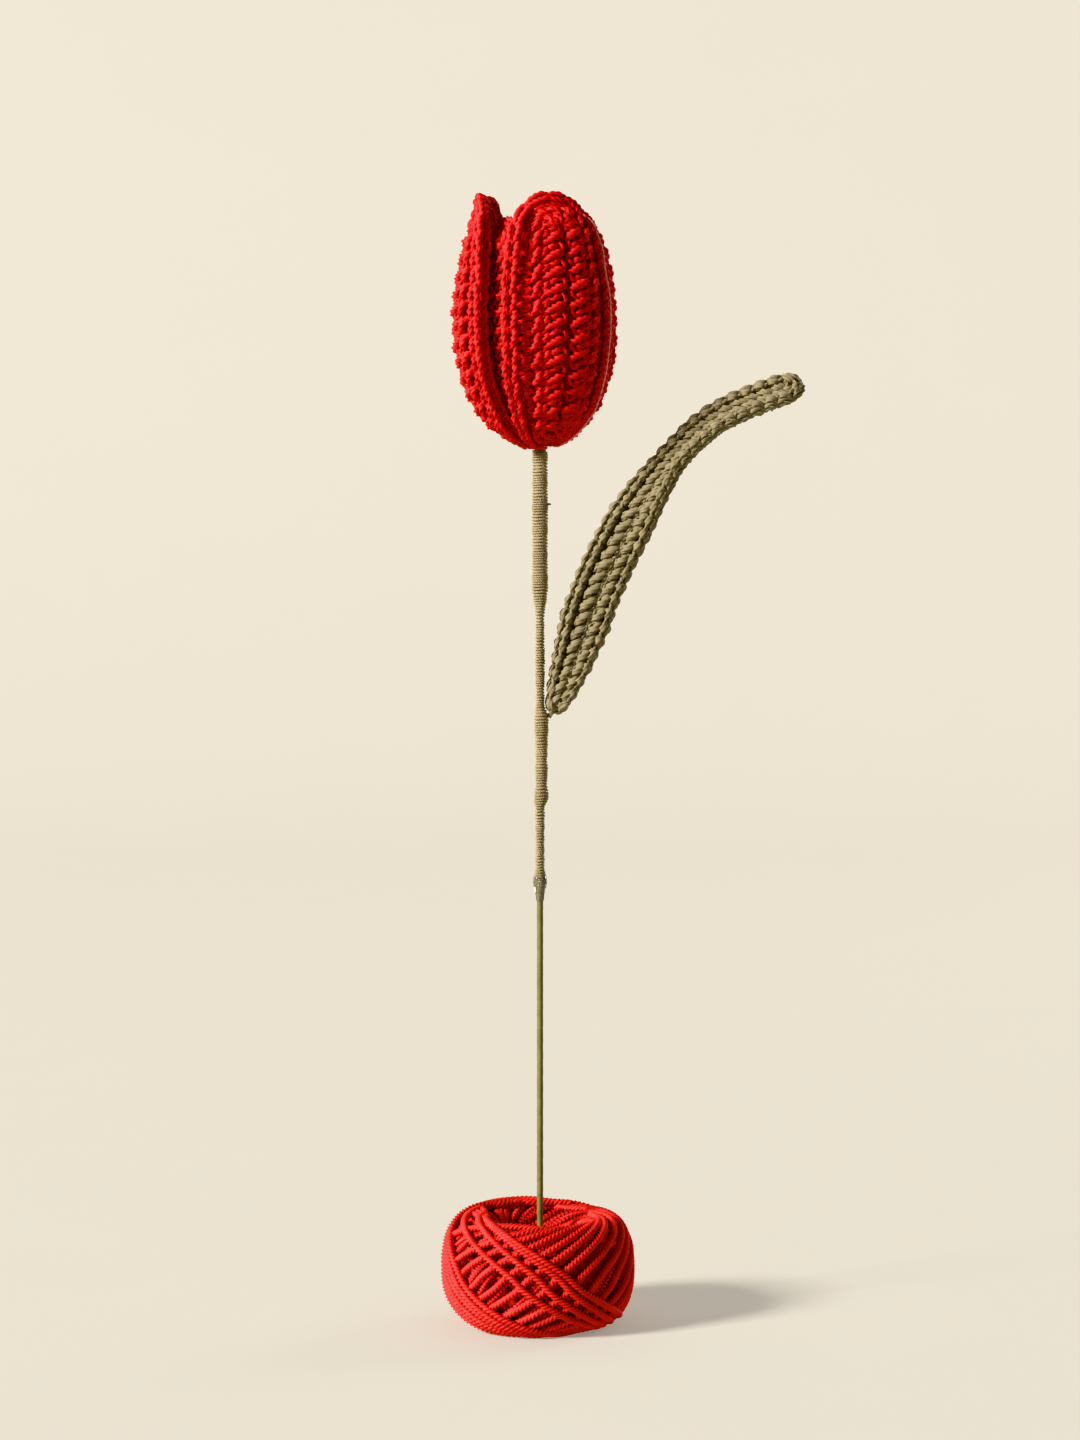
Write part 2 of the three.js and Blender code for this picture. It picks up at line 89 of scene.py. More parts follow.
class BallSettings(bpy.types.PropertyGroup):
    """Ball of yarn."""

    strand: length("Diameter of the wound yarn", 2)
    crest_radius: length("Radius of the ball's highest ring", 15.1)
    squareness: number("Below 1 the ring is squarer than an oval", 0.82)
    layer_lift: length("Half the distance between falling and rising strands", 0.85)
    reach: angle("How far a loop climbs over the crest and under the belly", 95)
    flatten: number("Lays the strands flatter on the ball's side", 0.06)
    inner_loops: IntProperty(description="Loops in the layers underneath", default=38)
    hollow_radius: length("Radius of the hollow in the middle", 11)
    hollow_floor: length("Height of the hollow's floor", 8)
    cotton: colour("Colour of the ball's yarn", "#cf2016")


class StemSettings(bpy.types.PropertyGroup):
    """Wrapped wire stem."""

    thread: length("Diameter of the wrapping thread", 0.72)
    thread_pitch: length("Rise of the thread in one turn", 0.68)
    knot_length: length("Height of the thick last turns of thread", 3)
    end_height: length("Where an end of thread stands off the wrap", 206.2)
    paper_pitch: length("Rise of the paper strip in one turn round the wire", 4.2)
    thread_colour: colour("Colour of the wrapping thread", "#9e9170")
    paper_colour: colour("Colour of the wire's paper cover", "#6d6739")


class PetalSettings(bpy.types.PropertyGroup):
    """Crocheted petals."""

    head_height: length("Height of the flower's underside", 220.3)
    height: length("From the flower's underside to a petal's tip", 62.6)
    radius: length("Radius of the flower where it is widest", 19)
    thickness: length("Thickness of the crocheted fabric", 3)
    layer_gap: length("Gap between outer and inner petals", 0.45)
    inner_reach: number("Length of the inner petals, as a share of the outer ones", 0.94)
    root_radius: length("Radius at which the petals start", 2.27)
    half_angle: angle("Half of the angle that a petal takes round the stem", 46)
    middle_turn: angle("How far the middle chain lies off the middle", 2.6)
    tip_power: number("How squarely the sides run up to the tip", 24)
    twist_from: number("Share of the length above which a petal twists", 0.65)
    tip_from: number("Share of the length above which a tip stands away", 0.82)
    pitch: length("Length of one stitch along a round", 4.2)
    yarn: length("Diameter of the crocheted yarn", 1.5)
    cotton: colour("Colour of the petals' yarn", "#c21210")
    # The loose ply's pale colour is a painted highlight, for the light that it catches.
    loose: colour("Colour of a thin loose ply against the light", "#ff8c84")


class LeafSettings(bpy.types.PropertyGroup):
    """Crocheted leaf."""

    height: length("Where the leaf leaves the stem", 153.4)
    reach: length("From the stem's axis to the leaf's tip", 65)
    rise: length("From the leaf's root to its tip", 82)
    sag: length("How far the leaf's middle bows to the front", 1.2)
    half_width: length("Half the width that the stitches take", 6)
    fold_base: angle("How far each half is turned up, or down below 0", -10)
    fold_tip: angle("The same near the tip", 14)
    turn_base: angle("How far the leaf's face is turned to the front", 80)
    turn_tip: angle("The same near the tip", 52)
    bend_from: number("Share of the length where fold and turn change", 0.35)
    bend_to: number("Share of the length by which they have changed", 0.68)
    middle_shift: length("How far the middle chain lies off the middle", 1.3)
    pitch: length("Length of one stitch along the edge", 3.6)
    yarn: length("Diameter of the crocheted yarn", 1.5)
    cotton: colour("Colour of the leaf's yarn", "#847a60")


class StageSettings(bpy.types.PropertyGroup):
    """Floor, light and camera."""

    camera_height: length("Height of the camera", 222)
    camera_distance: length("From the camera to the stem", 950)
    view_height: length("Height of what the picture shows at the stem", 360)
    view_middle: length("Height at the middle of the picture", 152.5)
    paper: colour("Colour of the floor and backdrop", "#a6a299")


# Lines


def smooth_line(controls, per_span):
    """Points of a smooth line through the controls."""
    controls = np.asarray(controls, dtype=float)
    first = 2 * controls[:1] - controls[1:2]
    last = 2 * controls[-1:] - controls[-2:-1]
    padded = np.vstack([first, controls, last])[:, None, :]
    a, b, c, d = padded[:-3], padded[1:-2], padded[2:-1], padded[3:]
    t = np.linspace(0, 1, per_span, endpoint=False)[None, :, None]
    spans = 2 * b + (c - a) * t + (2 * a - 5 * b + 4 * c - d) * t**2 + (3 * b - a - 3 * c + d) * t**3
    return np.vstack([0.5 * spans.reshape(-1, controls.shape[1]), controls[-1:]])


def run_lengths(line):
    """Length from the start of a line to each of its points."""
    steps = np.linalg.norm(np.diff(line, axis=0), axis=1)
    return np.concatenate([[0.0], np.cumsum(steps)])


def even_points(line, step):
    """Points an even step apart along a line, with its other columns, and their lengths from its start."""
    along = run_lengths(line[:, :3])
    at = np.linspace(0, along[-1], max(2, round(along[-1] / step)) + 1)
    return np.column_stack([np.interp(at, along, column) for column in line.T]), at


def ramp(value, start, end):
    """Smooth rise from 0 at the start to 1 at the end."""
    share = np.clip((value - start) / (end - start), 0, 1)
    return share * share * (3 - 2 * share)


def coil(radius, turn, height):
    """Points of a line that turns round the stem's axis."""
    return np.column_stack([radius * np.cos(turn), radius * np.sin(turn), height])


def from_front(radius, turn, height):
    """Points round the stem's axis, with their angles counted from the front."""
    return np.column_stack([radius * np.sin(turn), -radius * np.cos(turn), height])


class Track:
    """A smooth line that gives its point and direction at any share of its length."""

    def __init__(self, controls, per_span):
        self.line = smooth_line(controls, per_span)
        along = run_lengths(self.line)
        self.length = along[-1]
        self.share = along / along[-1]
        slope = np.gradient(self.line, along, axis=0)
        self.slope = slope / np.linalg.norm(slope, axis=1)[:, None]

    def at(self, share):
        """Points and directions, one row for each axis, running straight on past the ends."""
        inside = np.clip(share, 0, 1)
        over = (share - inside) * self.length
        point = np.array([np.interp(inside, self.share, column) for column in self.line.T])
        slope = np.array([np.interp(inside, self.share, column) for column in self.slope.T])
        return point + over * slope, slope


# Meshes and pieces

# The ply heights below also set painted shade: the yarn's material colours low points darker and crests
# lighter.
PLY_SHAPE = (1.0, 0.2, 0.2)  # height of points across one ply, from its crest to the groove beside the next
DEEP_PAINTED_SHADE_PLY = 0.2  # the same height for what lies deep under the yarn


def mark_ply_for_painted_shade(mesh, heights):
    """Stores how high each point lies on its ply, which the yarn's material turns into painted shade in the
    grooves.
    """
    mesh.attributes.new("ply", "FLOAT", "POINT").data.foreach_set("value", heights)


def finish_shape(shape, name, ply=None):
    """The mesh of a finished shape, all at one height of ply if that is given, which sets how much painted
    shade it takes.
    """
    mesh = bpy.data.meshes.new(name)
    shape.to_mesh(mesh)
    shape.free()
    if ply is not None:
        mark_ply_for_painted_shade(mesh, np.full(len(mesh.vertices), ply))
    return mesh


def lathe(points, steps, closed=False):
    """Shape that a line of points makes when it is turned round the stem's axis."""
    shape = bmesh.new()
    corners = [shape.verts.new(point) for point in points]
    others = corners[1:] + corners[:1] if closed else corners[1:]
    edges = [shape.edges.new(pair) for pair in zip(corners, others)]
    bmesh.ops.spin(
        shape, geom=corners + edges, cent=(0, 0, 0), axis=(0, 0, 1), angle=FULL_TURN,
        steps=steps, use_merge=True,
    )
    return shape


def sweep_section(radii, runs):
    """Mesh of a closed section swept along lines, each with its twist; a fourth column scales the section."""
    section = bpy.data.curves.new("section", "CURVE")
    outline = section.splines.new("POLY")
    outline.points.add(len(radii) - 1)
    for i, (point, radius) in enumerate(zip(outline.points, radii)):
        turn = FULL_TURN * i / len(radii)
        point.co = (radius * math.cos(turn), radius * math.sin(turn), 0, 1)
    outline.use_cyclic_u = True
    profile = bpy.data.objects.new("section", section)
    curve = bpy.data.curves.new("swept", "CURVE")
    curve.dimensions = "3D"
    curve.bevel_mode = "OBJECT"
    curve.bevel_object = profile
    curve.use_fill_caps = True
    for points, twist in runs:
        spline = curve.splines.new("POLY")
        spline.points.add(len(points) - 1)
        spline.points.foreach_set("co", np.column_stack([points[:, :3], np.ones(len(points))]).ravel())
        spline.points.foreach_set("tilt", twist)
        if points.shape[1] > 3:
            spline.points.foreach_set("radius", points[:, 3])
    carrier = bpy.data.objects.new("swept", curve)
    for made in (profile, carrier):
        bpy.context.scene.collection.objects.link(made)
    bpy.context.view_layer.update()
    seen = bpy.context.evaluated_depsgraph_get()
    mesh = bpy.data.meshes.new_from_object(carrier.evaluated_get(seen))
    for made in (carrier, profile):
        bpy.data.objects.remove(made)
    for data in (curve, section):
        bpy.data.curves.remove(data)
    return mesh


def spin_yarn(lines, diameter, step, plies=3, lay=3.2 * MM, groove=0.35):
    """Mesh of twisted yarns along lines, whose fourth column, if any, is a share of the diameter."""
    runs = []
    for line in lines:
        points, along = even_points(np.asarray(line), step)
        runs.append((points, FULL_TURN * along / lay))
    mesh = sweep_section(0.5 * diameter * (1 - groove + groove * np.tile(PLY_SHAPE, plies)), runs)
    mark_ply_for_painted_shade(mesh, np.resize(PLY_SHAPE, len(mesh.vertices)))
    return mesh


def make_piece(name, parts, body, node):
    """One object from meshes and their materials, riding on a body in the place of a plain solid."""
    shape = bmesh.new()
    mesh = bpy.data.meshes.new(name)
    for index, (part, material) in enumerate(parts):
        mesh.materials.append(material)
        part.polygons.foreach_set("material_index", np.full(len(part.polygons), index, dtype=np.int32))
        shape.from_mesh(part)
        bpy.data.meshes.remove(part)
    bmesh.ops.recalc_face_normals(shape, faces=shape.faces)
    shape.to_mesh(mesh)
    shape.free()
    mesh.shade_smooth()
    piece = bpy.data.objects.new(name, mesh)
    bpy.context.scene.collection.objects.link(piece)
    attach(piece, body)
    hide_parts(node)


# Materials


def fill_inputs(tree, node, values, links):
    """Sets a node's input values and incoming links."""
    for name, value in (values or {}).items():
        node.inputs[name].default_value = value
    for name, source in (links or {}).items():
        tree.links.new(source, node.inputs[name])


def add_node(tree, kind, values=None, links=None, **settings):
    """Adds a node with its settings, input values and incoming links."""
    node = tree.nodes.new(kind)
    for name, value in settings.items():
        setattr(node, name, value)
    fill_inputs(tree, node, values, links)
    return node


def new_material(name):
    """An empty material, its node tree and shader, and the place of each point on the object."""
    material = bpy.data.materials.new(name)
    material.use_nodes = True
    tree = material.node_tree
    place = add_node(tree, "ShaderNodeTexCoord").outputs["Object"]
    return material, tree, tree.nodes["Principled BSDF"], place


def shade(colour, factor):
    """A colour made lighter or darker."""
    return tuple(min(1.0, part * factor) for part in colour[:3]) + (1.0,)


def noise(tree, place, size, detail):
    """Noise whose spots have a real size."""
    values = {"Scale": 1 / size, "Detail": detail}
    return add_node(tree, "ShaderNodeTexNoise", values, {"Vector": place}).outputs["Fac"]


def stretched(tree, place, up):
    """Places squeezed or stretched along the height."""
    return add_node(tree, "ShaderNodeMapping", {"Scale": (1, 1, up)}, {"Vector": place}).outputs["Vector"]


def mixed(tree, one, other, share):
    """Two values mixed, with a share of the other."""
    links = {"A": one, "B": other}
    return add_node(tree, "ShaderNodeMix", {"Factor": share}, links, data_type="FLOAT").outputs["Result"]


def tones(tree, source, dark, light, low=0.0, high=1.0):
    """Colour that runs from dark to light between two values of the source."""
    tint = add_node(tree, "ShaderNodeValToRGB", None, {"Fac": source})
    for element, position, tone in zip(tint.color_ramp.elements, (low, high), (dark, light)):
        element.position = position
        element.color = tone
    return tint.outputs["Color"]


def relief(tree, source, strength, depth):
    """Bumps too small to model."""
    values = {"Strength": strength, "Distance": depth}
    return add_node(tree, "ShaderNodeBump", values, {"Height": source}).outputs["Normal"]


def spread(tree, source, low, high):
    """A noise spread from low to high."""
    values = {"To Min": low, "To Max": high}
    return add_node(tree, "ShaderNodeMapRange", values, {"Value": source}).outputs["Result"]


def cotton_yarn(name, colour, mottle=2.6 * MM, fibre=0.35 * MM):
    """Combed cotton yarn: soft matte strands with a random mottle, painted shade in the grooves between plies
    and painted light on their crests, and a faint bloom at the rim.
    """
    material, tree, shader, place = new_material(name)
    patches = noise(tree, place, mottle, 3.0)
    # Single fibres are too fine to show, so their streaks are drawn as coarse as a third of a millimetre.
    fibres = noise(tree, place, fibre, 4.0)
    uneven = mixed(tree, patches, fibres, 0.4)
    # Painted shade: the ply height colours grooves, and what lies deep under the yarn, darker and crests
    # lighter.
    ply = add_node(tree, "ShaderNodeAttribute", attribute_name="ply").outputs["Fac"]
    height = add_node(tree, "ShaderNodeMath", {1: 0.34}, {0: ply, 2: uneven}, operation="MULTIPLY_ADD")
    tint = tones(tree, height.outputs["Value"], shade(colour, 0.7), shade(colour, 1.15), 0.46, 0.95)
    values = {
        "Roughness": 0.7,
        "IOR": 1.53,
        "Specular IOR Level": 0.2,
        "Sheen Weight": 0.08,
        "Sheen Roughness": 0.45,
        "Sheen Tint": shade(colour, 2.2),
    }
    fill_inputs(tree, shader, values, {"Base Color": tint, "Normal": relief(tree, fibres, 0.5, 0.1 * MM)})
    return material


def crepe_paper(colour, strip):
    """Crepe paper wound on florist's wire: dry and matte, with a spiral seam and fine crinkles across it."""
    material, tree, shader, place = new_material("crepe_paper")
    crinkle = noise(tree, stretched(tree, place, 4), 0.9 * MM, 4.0)
    uneven = mixed(tree, crinkle, noise(tree, place, strip, 2.0), 0.5)
    tint = tones(tree, uneven, shade(colour, 0.7), shade(colour, 1.2), 0.35, 0.65)
    links = {"Base Color": tint, "Normal": relief(tree, crinkle, 0.6, 0.08 * MM)}
    fill_inputs(tree, shader, {"Roughness": 0.7}, links)
    return material


def drawn_steel():
    """Drawn steel wire: bright grey metal with fine lengthwise die lines."""
    material, tree, shader, place = new_material("drawn_steel")
    lines = noise(tree, stretched(tree, place, 0.02), 0.15 * MM, 2.0)
    values = {"Base Color": linear("#a3a5a8"), "Metallic": 1.0}
    fill_inputs(tree, shader, values, {"Roughness": spread(tree, lines, 0.25, 0.5)})
    return material


def clear_glue():
    """Clear craft glue: a glassy bead, slightly milky and uneven where it ran."""
    material, tree, shader, place = new_material("clear_glue")
    runs = noise(tree, place, 1.4 * MM, 2.0)
    values = {"Base Color": linear("#f1ecdf"), "Transmission Weight": 0.94, "IOR": 1.47}
    links = {"Normal": relief(tree, runs, 0.3, 0.2 * MM), "Roughness": spread(tree, runs, 0.05, 0.2)}
    fill_inputs(tree, shader, values, links)
    return material


def backdrop_paper(colour):
    """Matte backdrop paper: pale and even, with a trace of mottling and a faint glow that softens shadows."""
    material, tree, shader, place = new_material("backdrop_paper")
    tint = tones(tree, noise(tree, place, 60 * MM, 4.0), shade(colour, 0.97), shade(colour, 1.02))
    values = {"Roughness": 0.9, "Emission Color": shade(colour, 1.6), "Emission Strength": 0.45}
    fill_inputs(tree, shader, values, {"Base Color": tint})
    return material


# Ball of yarn

# Where falling strands cross the middle of the ball's side, in degrees from the front: a band of six,
# two single ones and a close pair on top of the rest, then the even strands of the rest of the way round.
BAND = 6
FRONT_STRANDS = (-95, -87, -79, -71, -63, -55, -13, 3, 15, 21)
EVEN_STRANDS = tuple(98 + 16 * i for i in range(10))
WINDING_SEED = 7
LOOP_POINTS = 90
STRAY = (-0.14, 0.03)  # how far loops fall short of their reach or pass it, as shares
WANDER = 0.02  # how far strands stray round the ball, in radians
INNER_LOOP_POINTS = 48
INNER_STRAY = 0.45  # the layers underneath run further down, into the hollow
PACKING = 0.94  # distance between the hollow's turns, as a share of the strand
WALL_ROUNDS = 9
LAY = -1.65  # length in which the strand's plies turn once, as a share of the strand


class Ring:
    """The ring that the strands are wound on, between the floor and the ball's top."""

    def __init__(self, settings):
        lowest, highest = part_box("yarn_winding")
        half_strand = settings.strand / 2
        cover = half_strand + 0.5 * settings.layer_lift
        self.crest = settings.crest_radius
        self.half_width = highest[0] - self.crest - cover
        self.half_height = (highest[2] - lowest[2]) / 2 - cover
        self.centre = highest[2] - cover - self.half_height
        self.floor = half_strand * 0.9
        self.settings = settings

    def section(self, around, aside, above):
        """Radius and height round the ring's squared section, with what is added to its half sizes."""
        out, up = np.cos(around), np.sin(around)
        power = self.settings.squareness
        radius = self.crest + (self.half_width + aside) * np.sign(out) * np.abs(out) ** power
        height = self.centre + (self.half_height + above) * np.sign(up) * np.abs(up) ** power
        return radius, height

    def points(self, swing, turn, lift, stray):
        """Points of a strand that swings over crest and belly while it turns round the stem."""
        flatten = self.settings.flatten
        wave = (1 - flatten) * np.cos(swing) + flatten * np.cos(3 * swing)
        radius, height = self.section(self.settings.reach * (1 + stray) * wave, lift, lift)
        return from_front(radius, turn, np.maximum(height, self.floor))


def layer_of(swing, swap_half):
    """1 on falling stretches, -1 on rising ones, with smooth changes near crest and belly."""
    nearest = np.round(swing / np.pi)
    past = np.clip((swing - np.pi * nearest) / swap_half, -1, 1)
    return np.where(nearest % 2 == 0, 1, -1) * np.sin(past * np.pi / 2)


def outer_strand(ring, settings):
    """The outer layer: one strand whose loops bunch up as a hand winds them."""
    crossings = np.radians(FRONT_STRANDS + EVEN_STRANDS)
    loops = len(crossings)
    numbers = np.arange(loops + 2) - 0.75
    starts = np.concatenate([[crossings[-1] - FULL_TURN], crossings, [crossings[0] + FULL_TURN]]) - np.pi / 2
    swing = np.linspace(-0.3, FULL_TURN * loops - 1.0, loops * LOOP_POINTS)
    loop = swing / FULL_TURN
    turn = swing + np.interp(loop, numbers, starts)
    chance = np.random.default_rng(WINDING_SEED)
    stray = np.interp(loop, np.arange(loops + 1), chance.uniform(*STRAY, loops + 1))
    wander = np.interp(swing / np.pi, np.arange(2 * loops + 1), chance.normal(0, WANDER, 2 * loops + 1))
    # Falling strands lie over rising ones: those of the band highest, the even ones lowest.
    falling = 0.5 + 0.5 * layer_of(swing, 0.95)
    on_top = 1 - ramp(loop, len(FRONT_STRANDS) - 0.1, len(FRONT_STRANDS) + 0.1)
    past_band = ramp(loop, BAND - 0.8, BAND - 0.2)
    settled = 1 - 0.5 * past_band * ramp(-np.cos(swing), 0.4, 0.8)
    lift = settings.layer_lift * falling * ((2.5 - 0.3 * past_band) * on_top - 1.2) * settled
    return ring.points(swing, turn + wander, lift, stray)


def inner_strands(ring, settings):
    """The layers underneath, and the hollow's wall and floor."""
    loops = settings.inner_loops
    swing = np.linspace(0.0, FULL_TURN * loops, loops * INNER_LOOP_POINTS)
    turn = swing * (loops + 1) / loops + 0.09 * np.sin(swing * 0.61)
    lift = -settings.layer_lift - settings.strand * (0.4 + 0.35 * layer_of(swing, 0.5))
    layers = ring.points(swing, turn, lift, INNER_STRAY)
    half = settings.strand / 2
    spacing = PACKING * settings.strand
    first_radius = 1.6 * half
    turns_across = (settings.hollow_radius - first_radius) / spacing
    floor_turns = np.linspace(0, FULL_TURN * turns_across, 200)
    wall_turns = np.linspace(floor_turns[-1], floor_turns[-1] + FULL_TURN * WALL_ROUNDS, 340)
    floor_radius = first_radius + spacing * floor_turns / FULL_TURN
    wall_radius = settings.hollow_radius + 0.1 * half * np.sin(wall_turns * 1.7)
    floor_height = np.full_like(floor_turns, settings.hollow_floor - half)
    climb = (wall_turns - wall_turns[0]) / FULL_TURN
    wall_height = settings.hollow_floor - half + spacing * climb
    turns = np.concatenate([floor_turns, wall_turns])
    radius = np.concatenate([floor_radius, wall_radius])
    height = np.concatenate([floor_height, wall_height])
    return [layers, from_front(radius, turns, height)]


def packed_middle(ring, settings):
    """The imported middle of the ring, under every layer that shows, and a disc under the hollow's floor."""
    around = np.linspace(0, FULL_TURN, 40, endpoint=False)
    sink = settings.strand * np.where(np.cos(around) > 0, 1.5, 2.0)
    radius, height = ring.section(around, -sink, -1.5 * settings.strand)
    shape = lathe([(r, 0, z) for r, z in zip(radius, height)], steps=48, closed=True)
    under_floor = Matrix.Translation((0, 0, settings.hollow_floor - settings.strand))
    bmesh.ops.create_cone(
        shape, cap_ends=True, segments=48, radius1=settings.hollow_radius, radius2=settings.hollow_radius,
        depth=settings.strand, matrix=under_floor,
    )
    # Painted shade: the packed middle and the disc take the low ply height, so they are coloured darker.
    return finish_shape(shape, "packed_middle", DEEP_PAINTED_SHADE_PLY)


class TULIP_OT_yarn_ball(bpy.types.Operator):
    """Wind the ball of yarn: the layers underneath and the outer strand"""

    bl_idname = "tulip.yarn_ball"
    bl_label = "Yarn ball"

    def execute(self, context):
        settings = context.scene.tulip_ball
        ring = Ring(settings)
        cotton = cotton_yarn("wound_cotton_yarn", settings.cotton)
        lay = LAY * settings.strand
        outer = spin_yarn([outer_strand(ring, settings)], settings.strand, 0.42 * MM, lay=lay, groove=0.5)
        make_piece("yarn_outer_strand", [(outer, cotton)], "yarn_ball", "yarn_winding")
        inner = spin_yarn(inner_strands(ring, settings), settings.strand, 1.0 * MM, lay=lay, groove=0.22)
        parts = [(inner, cotton), (packed_middle(ring, settings), cotton)]
        make_piece("yarn_inner_layers", parts, "yarn_ball", "yarn_core")
        return {"FINISHED"}


# Stem

COIL_POINTS = 18  # points in one turn of thread
TAIL_YARN = 0.64 * MM  # the petals' yarn ends, pulled tight
BASE_TURNS = 19
PAPER_LAP = 0.05 * MM
PAPER_SIDES = 20
# Outline of the glue from the bare wire up, as shares of its greatest radius and of its height.
GLUE_FOOT = 0.04
GLUE_SIDE = ((0.58, 0.1), (0.66, 0.3), (0.86, 0.5), (1, 0.7), (0.98, 0.9), (0.8, 1))


def ring_table(node):
    """Heights, outer radii and side shifts of the rings that a solid sleeve is made of."""
    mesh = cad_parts[node].data
    places = np.empty(3 * len(mesh.vertices))
    mesh.vertices.foreach_get("co", places)
    places = places.reshape(-1, 3)
    heights = np.unique(np.round(places[:, 2], 6))
    outer, shift = [], []
    for height in heights:
        across = places[np.abs(places[:, 2] - height) < 1e-6, 0]
        outer.append((across.max() - across.min()) / 2)
        shift.append((across.max() + across.min()) / 2)
    return heights, np.array(outer), np.array(shift)


def wrap_thread(settings):
    """The thread's line: close turns over all that lies under them, a little uneven."""
    heights, outer, shift = ring_table("stem_wrap")
    half = settings.thread / 2
    turns = (heights[-1] - heights[0] - settings.thread) / settings.thread_pitch
    turn = np.linspace(0, FULL_TURN * turns, round(turns * COIL_POINTS))
    waves = np.sin(turn * 0.031) + np.sin(turn * 0.0173 + 2) + np.sin(turn * 0.11)
    uneven = 0.25 * settings.thread_pitch * waves
    height = heights[0] + half + settings.thread_pitch * turn / FULL_TURN + uneven
    height = np.clip(height, heights[0] + half, heights[-1] - half)
    wobble = 0.06 * MM * (np.sin(turn * 0.23) + np.sin(turn * 0.037 + 1))
    line = coil(np.interp(height, heights, outer) - half * 0.8 + wobble, turn, height)
    line[:, 0] += np.interp(height, heights, shift)
    return line


def wrap_end(settings):
    """A short end of thread that stands off the wrap."""
    heights, outer, shift = ring_table("stem_wrap")
    foot = np.interp(settings.end_height, heights, shift + outer)
    bend = settings.thread
    return np.array([
        (foot - bend, 0, settings.end_height),
        (foot + 0.5 * bend, -0.3 * bend, settings.end_height + 0.3 * bend),
        (foot + 0.9 * bend, -0.3 * bend, settings.end_height),
    ])


def wrap_knot(settings):
    """The last turns of thread, lapped over one another into a thick end that the glue holds."""
    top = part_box("glue_collar")[1]
    turns = settings.knot_length / (0.8 * settings.thread_pitch)
    turn = np.linspace(0, FULL_TURN * turns, round(turns * COIL_POINTS))
    share = turn / turn[-1]
    radius = (top[0] - 0.55 * settings.thread) * (0.8 + 0.2 * np.sin(np.pi * share))
    return coil(radius, turn, top[2] + settings.thread - settings.knot_length * share)


def wrap_underlay(settings):
    """The turns underneath, as a plain sleeve that closes the gaps between the outer ones."""
    shape = bmesh.new()
    edges = []
    for height, radius, shift in zip(*ring_table("stem_wrap")):
        place = Matrix.Translation((shift, 0, height))
        under = radius - 0.7 * settings.thread
        ring = bmesh.ops.create_circle(shape, segments=16, radius=under, matrix=place)
        edges.append({edge for vertex in ring["verts"] for edge in vertex.link_edges})
    for low, high in zip(edges, edges[1:]):
        bmesh.ops.bridge_loops(shape, edges=[*low, *high])
    bmesh.ops.holes_fill(shape, edges=shape.edges)
    # Painted shade: the underlay takes the low ply height, so it is coloured darker.
    return finish_shape(shape, "wrap_underlay", DEEP_PAINTED_SHADE_PLY)


class TULIP_OT_stem_thread(bpy.types.Operator):
    """Wind the stem's thread, with its thick last turns and a loose end"""

    bl_idname = "tulip.stem_thread"
    bl_label = "Stem thread"

    def execute(self, context):
        settings = context.scene.tulip_stem
        cotton = cotton_yarn("embroidery_thread", settings.thread_colour, mottle=4 * MM, fibre=0.3 * MM)
        lines = [wrap_thread(settings), wrap_knot(settings), wrap_end(settings)]
        wound = spin_yarn(lines, settings.thread, 0.4 * MM, plies=2, lay=1.1 * MM, groove=0.3)
        parts = [(wound, cotton), (wrap_underlay(settings), cotton)]
        make_piece("stem_thread", parts, "flower_stem", "stem_wrap")
        return {"FINISHED"}


class TULIP_OT_wires(bpy.types.Operator):
    """Cover the stem's wire with a spiral strip of paper and finish the wires as steel"""

    bl_idname = "tulip.wires"
    bl_label = "Wires"

    def execute(self, context):
        settings = context.scene.tulip_stem
        lowest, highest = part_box("wire_cover")
        radii = highest[1] - PAPER_LAP * np.arange(PAPER_SIDES) / PAPER_SIDES
        heights = np.arange(lowest[2], highest[2], settings.paper_pitch / 10)
        line = np.column_stack([0 * heights, 0 * heights, heights])
        cover = sweep_section(radii, [(line, FULL_TURN * heights / settings.paper_pitch)])
        paper = crepe_paper(settings.paper_colour, settings.paper_pitch)
        make_piece("wire_paper", [(cover, paper)], "flower_stem", "wire_cover")
        steel = drawn_steel()
        for node in ("stem_wire", "leaf_wire", "leaf_wire_tail"):
            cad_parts[node].data.materials[0] = steel
        return {"FINISHED"}


class TULIP_OT_glue(bpy.types.Operator):
    """Set the bead of glue that holds the last turns of thread"""

    bl_idname = "tulip.glue"
    bl_label = "Glue"

    def execute(self, context):
        lowest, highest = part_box("glue_collar")
        rise = highest[2] - lowest[2]
        foot = (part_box("wire_cover")[1][0], 0, lowest[2] + rise * GLUE_FOOT)
        side = [(highest[0] * out, 0, lowest[2] + rise * up) for out, up in GLUE_SIDE]
        shape = lathe(smooth_line([foot] + side, 5), steps=28)
        bmesh.ops.holes_fill(shape, edges=shape.edges)
        parts = [(finish_shape(shape, "glue"), clear_glue())]
        make_piece("glue_bead", parts, "flower_stem", "glue_collar")
        return {"FINISHED"}


